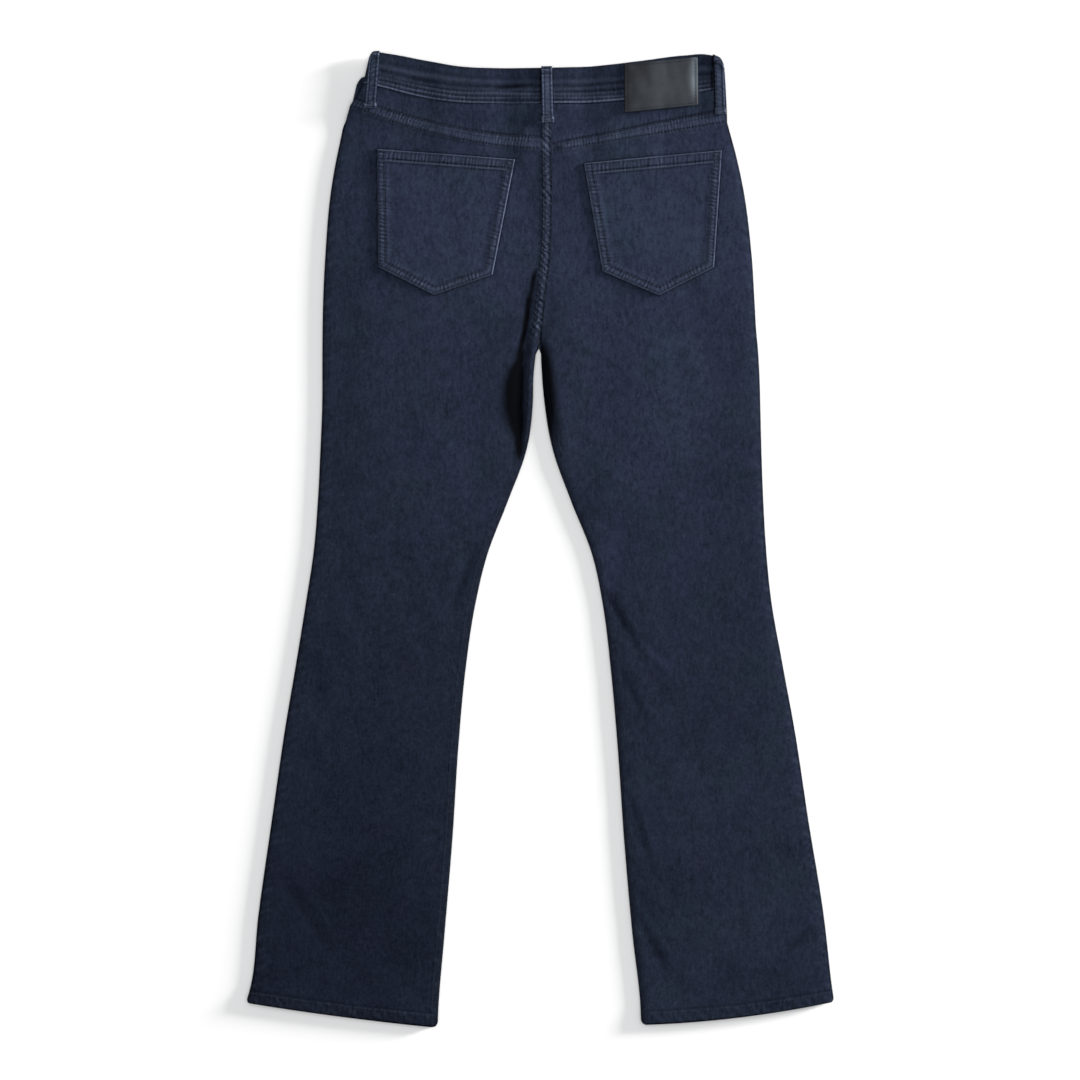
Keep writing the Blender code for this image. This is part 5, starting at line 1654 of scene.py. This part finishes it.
# Painted shade along the top row of thread, under the fold, at the ends, along the lower edge and in the
# crease.
shade = shade + 0.26 * row + 0.35 * peak(fold_away, 1.6) + 0.3 * peak(end_away, 1.8)
shade = shade + 0.5 * peak(up - 0.1, 0.45) - 1.1 * crease_height(BAND_CREASE, x, y)
# Painted shadow on the waistband beside the loops.
for node, dark in (("belt_loop_centre", 0.9), ("belt_loop_back_right", 0.95)):
    loop_x = BACK_LOOPS[node][0]
    shade = shade + dark * peak(x - loop_x + LOOP_WIDTH / 2.0 + 0.9, 1.2)
    shade = shade + 0.35 * peak(x - loop_x - LOOP_WIDTH / 2.0 - 0.6, 0.8)
fade = np.where(on_left, washed_fade("left", x, y), washed_fade("right", x, y)) - 0.14
top = under + BAND_WALL * rim + relief * rim
tick = 0.28 * peak(up - 7.0, 6.0) + 0.05
band_piece = add_cloth("waistband", x, y, under, top, fade, wear, shade, along / BAND_TICK_PITCH, tick)
dress(band_piece, back_denim, "denim_band", "waistband_back")


def band_row(ups):
    """A line along the waistband at a height above its lower edge."""
    part = ups / height
    keep = (along[0] > BAND_ROW_INSET) & (along[0] < length - BAND_ROW_INSET)
    row_x = mix(x[0], x[-1], part)[keep]
    row_y = mix(y[0], y[-1], part)[keep]
    return np.stack([row_x, row_y], axis=1)


ends = [stitches_along(band_row(ups)) for ups in (*BAND_STITCH_UPS, height - BAND_TOP_STITCH)]
sew("waistband_stitching", ends, band_piece)


# Belt loops on the back
# Narrow strips of denim folded lengthways, with a row of thread down each side. Both
# ends are folded under and held over the waistband by a bar of close stitches.

LOOP_WALL = 1.4
LOOP_FOLD = 1.0
LOOP_ARCH = 0.7
LOOP_ROW = 3.3
LOOP_OVER = 1.3
# Where the bars of close stitches cross each loop, as parts of its length.
LOOP_TACKS = (0.055, 0.925)
LOOP_TACK_LENGTH = 10.4
LOOP_TACK_WIDTH = 2.0
LOOP_TICK_PITCH = 5.0
LOOP_END_STEPS = (0.0, 0.4, 1.0, 1.8)
LOOP_SIDE_STEPS = (0.0, 0.25, 0.6, 1.1)
LOOP_ROWS, LOOP_COLUMNS = 60, 16
LOOP_PALENESS = {"belt_loop_centre": 0.24, "belt_loop_back_left": 0.0, "belt_loop_back_right": 0.12}
# How much wider the loops' folded lower ends are.
LOOP_FLARE = 0.17

for node, (top_x, top_y, low_x, low_y) in BACK_LOOPS.items():
    side = "left" if top_x < centre_x - LOOP_WIDTH else "right"
    length = math.hypot(low_x - top_x, low_y - top_y)
    down = across_places(length, LOOP_END_STEPS, LOOP_END_STEPS, LOOP_ROWS)[:, None]
    half = LOOP_WIDTH / 2.0
    across = across_places(LOOP_WIDTH, LOOP_SIDE_STEPS, LOOP_SIDE_STEPS, LOOP_COLUMNS)[None, :]
    across = across * 2.0 - 1.0
    turn = (low_x - top_x) / (top_y - low_y)
    flare = 1.0 + LOOP_FLARE * ramp(9.5, 4.0, (1.0 - down) * length)
    x = mix(top_x, low_x, down) + across * half * flare
    fold_y = band_fold_y(BACK_BAND, x)
    y = mix(fold_y + LOOP_OVER, low_y + across * half * turn, down)
    middle_x = np.broadcast_to(mix(top_x, low_x, down), x.shape)
    on_band = np.minimum(y, fold_y - LOOP_OVER)
    level = np.maximum(band_level(side, x, on_band), band_level(side, middle_x, on_band)) + SEAM_GAP
    under = level + LOOP_ARCH * np.sin(math.pi * down)
    from_end = np.minimum(down, 1.0 - down) * length
    from_side = half * (1.0 - np.abs(across))
    folded = LOOP_FOLD * ramp(8.6, 7.0, from_end)
    from_row = np.abs(np.abs(across) * half - LOOP_ROW)
    row = peak(from_row, 0.7)
    ridge = peak(np.abs(across) * half - 4.9, 1.0)
    wave = roping(down * length, across * half, pitch=5.2, slant=0.3, seed=top_x)
    relief = 0.20 * ridge - 0.30 * row + 0.12 * wave * ridge
    tacked = sum(peak((down - place) * length, 1.5) for place in LOOP_TACKS)
    relief = relief - 0.25 * tacked
    rim = rimmed(0.6, np.minimum(from_end, from_side), 1.2)
    wear = 0.62 * ridge * np.clip(0.5 + 0.8 * wave, 0.0, 1.0) + 0.95 * tacked
    wear = np.maximum(wear, 0.30 * np.maximum(wave, 0.0) * (from_row > 0.8))
    beside_tack = sum(peak(np.abs(down - place) * length - 2.4, 0.8) for place in LOOP_TACKS)
    # Painted shade along the rows of thread, at the sides, at the folded ends and beside the bars of
    # stitches.
    shade = 0.40 * row + 0.45 * peak(from_side, 0.8) + 0.4 * peak(from_end - 9.0, 1.0)
    shade = np.maximum(shade, 0.7 * beside_tack)
    # The right loop curves over the band's edge: its left side gets a painted shadow.
    if node == "belt_loop_back_right":
        shade = np.maximum(shade, 0.92 * ramp(0.50, 0.72, -across))
    wear = wear + LOOP_PALENESS[node] + 0.30 * ramp(9.0, 6.0, (1.0 - down) * length)
    fade = washed_fade(side, x, y) + 0.2 + LOOP_PALENESS[node]
    run = down * length / LOOP_TICK_PITCH
    top = under + (LOOP_WALL + folded + relief) * rim
    name = node.replace("belt_loop", "carrier")
    piece = add_cloth(name, x, y, under, top, fade, wear, shade, run, 0.42)
    dress(piece, back_denim, "denim_band", node)
    line = mix(np.array((top_x, top_y)), np.array((low_x, low_y)), down)[5:-5]
    ends = [stitches_along(line + np.array((shift, 0.0))) for shift in (-LOOP_ROW, LOOP_ROW)]
    for place in LOOP_TACKS:
        middle = (mix(top_x, low_x, place), mix(top_y, low_y, place))
        ends.append(bar_tack(middle, (1.0, turn), LOOP_TACK_LENGTH, LOOP_TACK_WIDTH))
    sew(node.replace("belt_loop", "carrier_stitching"), ends, piece)


# Leather patch
# A small plate of dark, smooth-finished leather over the waistband at the right hip,
# sewn on near its edge. It is bare, with a painted sheen towards its glossier right end.

PATCH_WIDTH = 85.0
PATCH_HEIGHT = 56.0
PATCH_WALL = 1.7
PATCH_CORNER = 2.6
PATCH_STEPS = (0.0, 0.3, 0.7, 1.2, 1.9, 2.6)
PATCH_COLUMNS, PATCH_ROWS = 78, 48
PATCH_STITCH_STEP = 3.9
PATCH_STITCH_LENGTH = 2.8
PATCH_STITCH_INSET = 3.0
# Its corners: the top left and right, the lower right, the lower left.
PATCH = ((97.5, 552.0), (182.5, 560.5), (183.0, 504.5), (97.5, 495.5))
LEATHER_DARK = (0.0095, 0.0112, 0.0140)
LEATHER_PALE = (0.1250, 0.1450, 0.1700)
# How dark the leather's painted shade is beside its own dark colour.
LEATHER_SHADE_TONE = 0.3


def leather_material():
    """Coated leather: a pebbled grain, with painted shade in its creases and at its edges, and a painted
    sheen where it is also glossier.
    """
    material, tree, shader, place = new_material("patch leather")
    cells = tree.nodes.new("ShaderNodeTexVoronoi")
    cells.feature = "DISTANCE_TO_EDGE"
    cells.inputs["Scale"].default_value = 1100.0
    tree.links.new(place, cells.inputs["Vector"])
    pebble = clamp(tree, times(tree, cells.outputs["Distance"], 3.0))
    broad = add_noise(tree, place, 60.0, 4.0)
    # On the patch the wear channel holds mostly its painted sheen, here mixed with random tone.
    rub = clamp(tree, plus(tree, read_channel(tree, "wear"), about_zero(tree, broad, 0.17)))
    colour = mix_colour(tree, rub, LEATHER_DARK, LEATHER_PALE)
    painted_shade_colour = tuple(value * LEATHER_SHADE_TONE for value in LEATHER_DARK)
    colour = mix_colour(tree, clamp(tree, read_channel(tree, "shade")), colour, painted_shade_colour)
    tree.links.new(colour, shader.inputs["Base Color"])
    rough = add_math(tree, "SUBTRACT", 0.72, times(tree, rub, 0.15))
    tree.links.new(rough, shader.inputs["Roughness"])
    shader.inputs["Specular IOR Level"].default_value = 0.14
    height = plus(tree, pebble, times(tree, broad, 1.5))
    add_bump(tree, shader, height, strength=0.5, distance=0.00012)
    return material


top_left, top_right, low_right, low_left = (np.array(corner) for corner in PATCH)
across = across_places(PATCH_WIDTH, PATCH_STEPS, PATCH_STEPS, PATCH_COLUMNS)[None, :] * PATCH_WIDTH
down = across_places(PATCH_HEIGHT, PATCH_STEPS, PATCH_STEPS, PATCH_ROWS)[:, None] * PATCH_HEIGHT
from_side = np.minimum(across, PATCH_WIDTH - across)
from_end = np.minimum(down, PATCH_HEIGHT - down)
# Each corner is rounded by moving the points near it inwards.
near_side = np.clip(1.0 - from_side / PATCH_CORNER, 0.0, 1.0)
near_end = np.clip(1.0 - from_end / PATCH_CORNER, 0.0, 1.0)
moved_side = PATCH_CORNER * (near_side - near_side * np.sqrt(1.0 - near_end ** 2 / 2.0))
moved_end = PATCH_CORNER * (near_end - near_end * np.sqrt(1.0 - near_side ** 2 / 2.0))
u = (across + np.where(across < PATCH_WIDTH / 2.0, moved_side, -moved_side)) / PATCH_WIDTH
v = (down + np.where(down < PATCH_HEIGHT / 2.0, moved_end, -moved_end)) / PATCH_HEIGHT
left = mix(top_left[:, None, None], low_left[:, None, None], v)
right = mix(top_right[:, None, None], low_right[:, None, None], v)
x, y = mix(left, right, u)
edge = np.minimum(np.minimum(u, 1.0 - u) * PATCH_WIDTH, np.minimum(v, 1.0 - v) * PATCH_HEIGHT)
under = band_level("right", x, y) + SEAM_GAP
row = peak(edge - PATCH_STITCH_INSET, 0.8)
bulge = 0.25 * ramp(3.0, 14.0, edge) + 0.10 * soft_waves(x * 2.3, y * 2.3)
top = under + (PATCH_WALL - 0.22 * row + bulge) * rimmed(0.55, edge, 1.2)
# Painted sheen in the wear channel: paler towards the right and the bottom, with a bright strip near the
# right end that is brightest in its upper part.
painted_sheen = peak(u - 0.955, 0.05) * ramp(1.0, 0.45, v)
wear = 0.015 + 0.105 * ramp(-0.05, 0.75, u + 0.35 * v) + 0.05 * ramp(0.4, 1.0, u) + 0.72 * painted_sheen
# Painted shade along the row of thread, in a crease line near the left end, over the left end and at the
# rounded edges.
left_crease_shade = peak(u * PATCH_WIDTH - 4.8, 0.7)
shade = 0.25 * row + 0.45 * left_crease_shade + 0.25 * peak(u * PATCH_WIDTH, 3.2) + 0.6 * peak(edge, 1.0)
piece = add_cloth("patch_plate", x, y, under, top, 0.0, wear, shade)
dress(piece, leather_material(), "patch_leather", "leather_patch")
corners = [top_left, top_right, low_right, low_left, top_left, top_right]
line = inset_line(corners, PATCH_STITCH_INSET)
line = np.concatenate([line, line[:1]])
ends = [stitches_along(line, PATCH_STITCH_STEP, PATCH_STITCH_LENGTH)]
sew("patch_stitching", ends, piece)


# Table and light
# The jeans lie on a pale matt table top, under a broad lamp low on the upper right and a
# soft one overhead. The camera looks straight down on them.

TABLE_SIZE = 12.0
TABLE_DROP = 0.0003
TABLE_WHITE = (0.83, 0.83, 0.83)
CAMERA_HEIGHT = 4.0
# The middle of the photo's frame lies one of its pixels above the origin.
CAMERA_UP = 0.00116
VIEW_WIDTH = 1.2528
SENSOR_WIDTH = 36.0
KEY_PLACE = (7.5, 2.4, 0.95)
KEY_SIZE = 1.7
KEY_POWER = 2650.0
TOP_PLACE = (0.0, 0.0, 3.6)
TOP_SIZE = 4.2
TOP_POWER = 80.0
KEY_COLOUR = (1.0, 0.985, 0.96)
TOP_COLOUR = (0.97, 0.985, 1.0)
ROOM_LIGHT = 0.465


def matt_white():
    """Plain pale paint with the least unevenness."""
    material, tree, shader, place = new_material("table white")
    low = tuple(value * 0.985 for value in TABLE_WHITE)
    colour = mix_colour(tree, add_noise(tree, place, 3.0, 2.0), low, TABLE_WHITE)
    tree.links.new(colour, shader.inputs["Base Color"])
    shader.inputs["Roughness"].default_value = 1.0
    shader.inputs["Specular IOR Level"].default_value = 0.0
    return material


def add_lamp(name, place, size, power, colour):
    """A square soft lamp that looks at the middle of the jeans."""
    light = bpy.data.lights.new(name, "AREA")
    light.shape = "SQUARE"
    light.size = size
    light.energy = power
    light.color = colour
    lamp = put_in_scene(name, light)
    lamp.location = place
    lamp.rotation_euler = Vector(place).to_track_quat("Z", "Y").to_euler()


half = TABLE_SIZE / 2.0
mesh = bpy.data.meshes.new("table_top")
corners = ((-half, -half), (half, -half), (half, half), (-half, half))
mesh.from_pydata([(x, y, -TABLE_DROP) for x, y in corners], [], [(0, 1, 2, 3)])
mesh.materials.append(matt_white())
table_top = put_in_scene("table_top", mesh)

add_lamp("key_lamp", KEY_PLACE, KEY_SIZE, KEY_POWER, KEY_COLOUR)
add_lamp("top_lamp", TOP_PLACE, TOP_SIZE, TOP_POWER, TOP_COLOUR)
world = bpy.data.worlds.new("room")
world.use_nodes = True
world.node_tree.nodes["Background"].inputs["Color"].default_value = (1.0, 1.0, 1.0, 1.0)
world.node_tree.nodes["Background"].inputs["Strength"].default_value = ROOM_LIGHT
bpy.context.scene.world = world

lens = bpy.data.cameras.new("camera")
lens.sensor_width = SENSOR_WIDTH
lens.lens = SENSOR_WIDTH * CAMERA_HEIGHT / VIEW_WIDTH
camera = put_in_scene("camera", lens)
camera.location = (0.0, CAMERA_UP, CAMERA_HEIGHT)
bpy.context.scene.camera = camera
bpy.context.scene.view_settings.view_transform = "Standard"
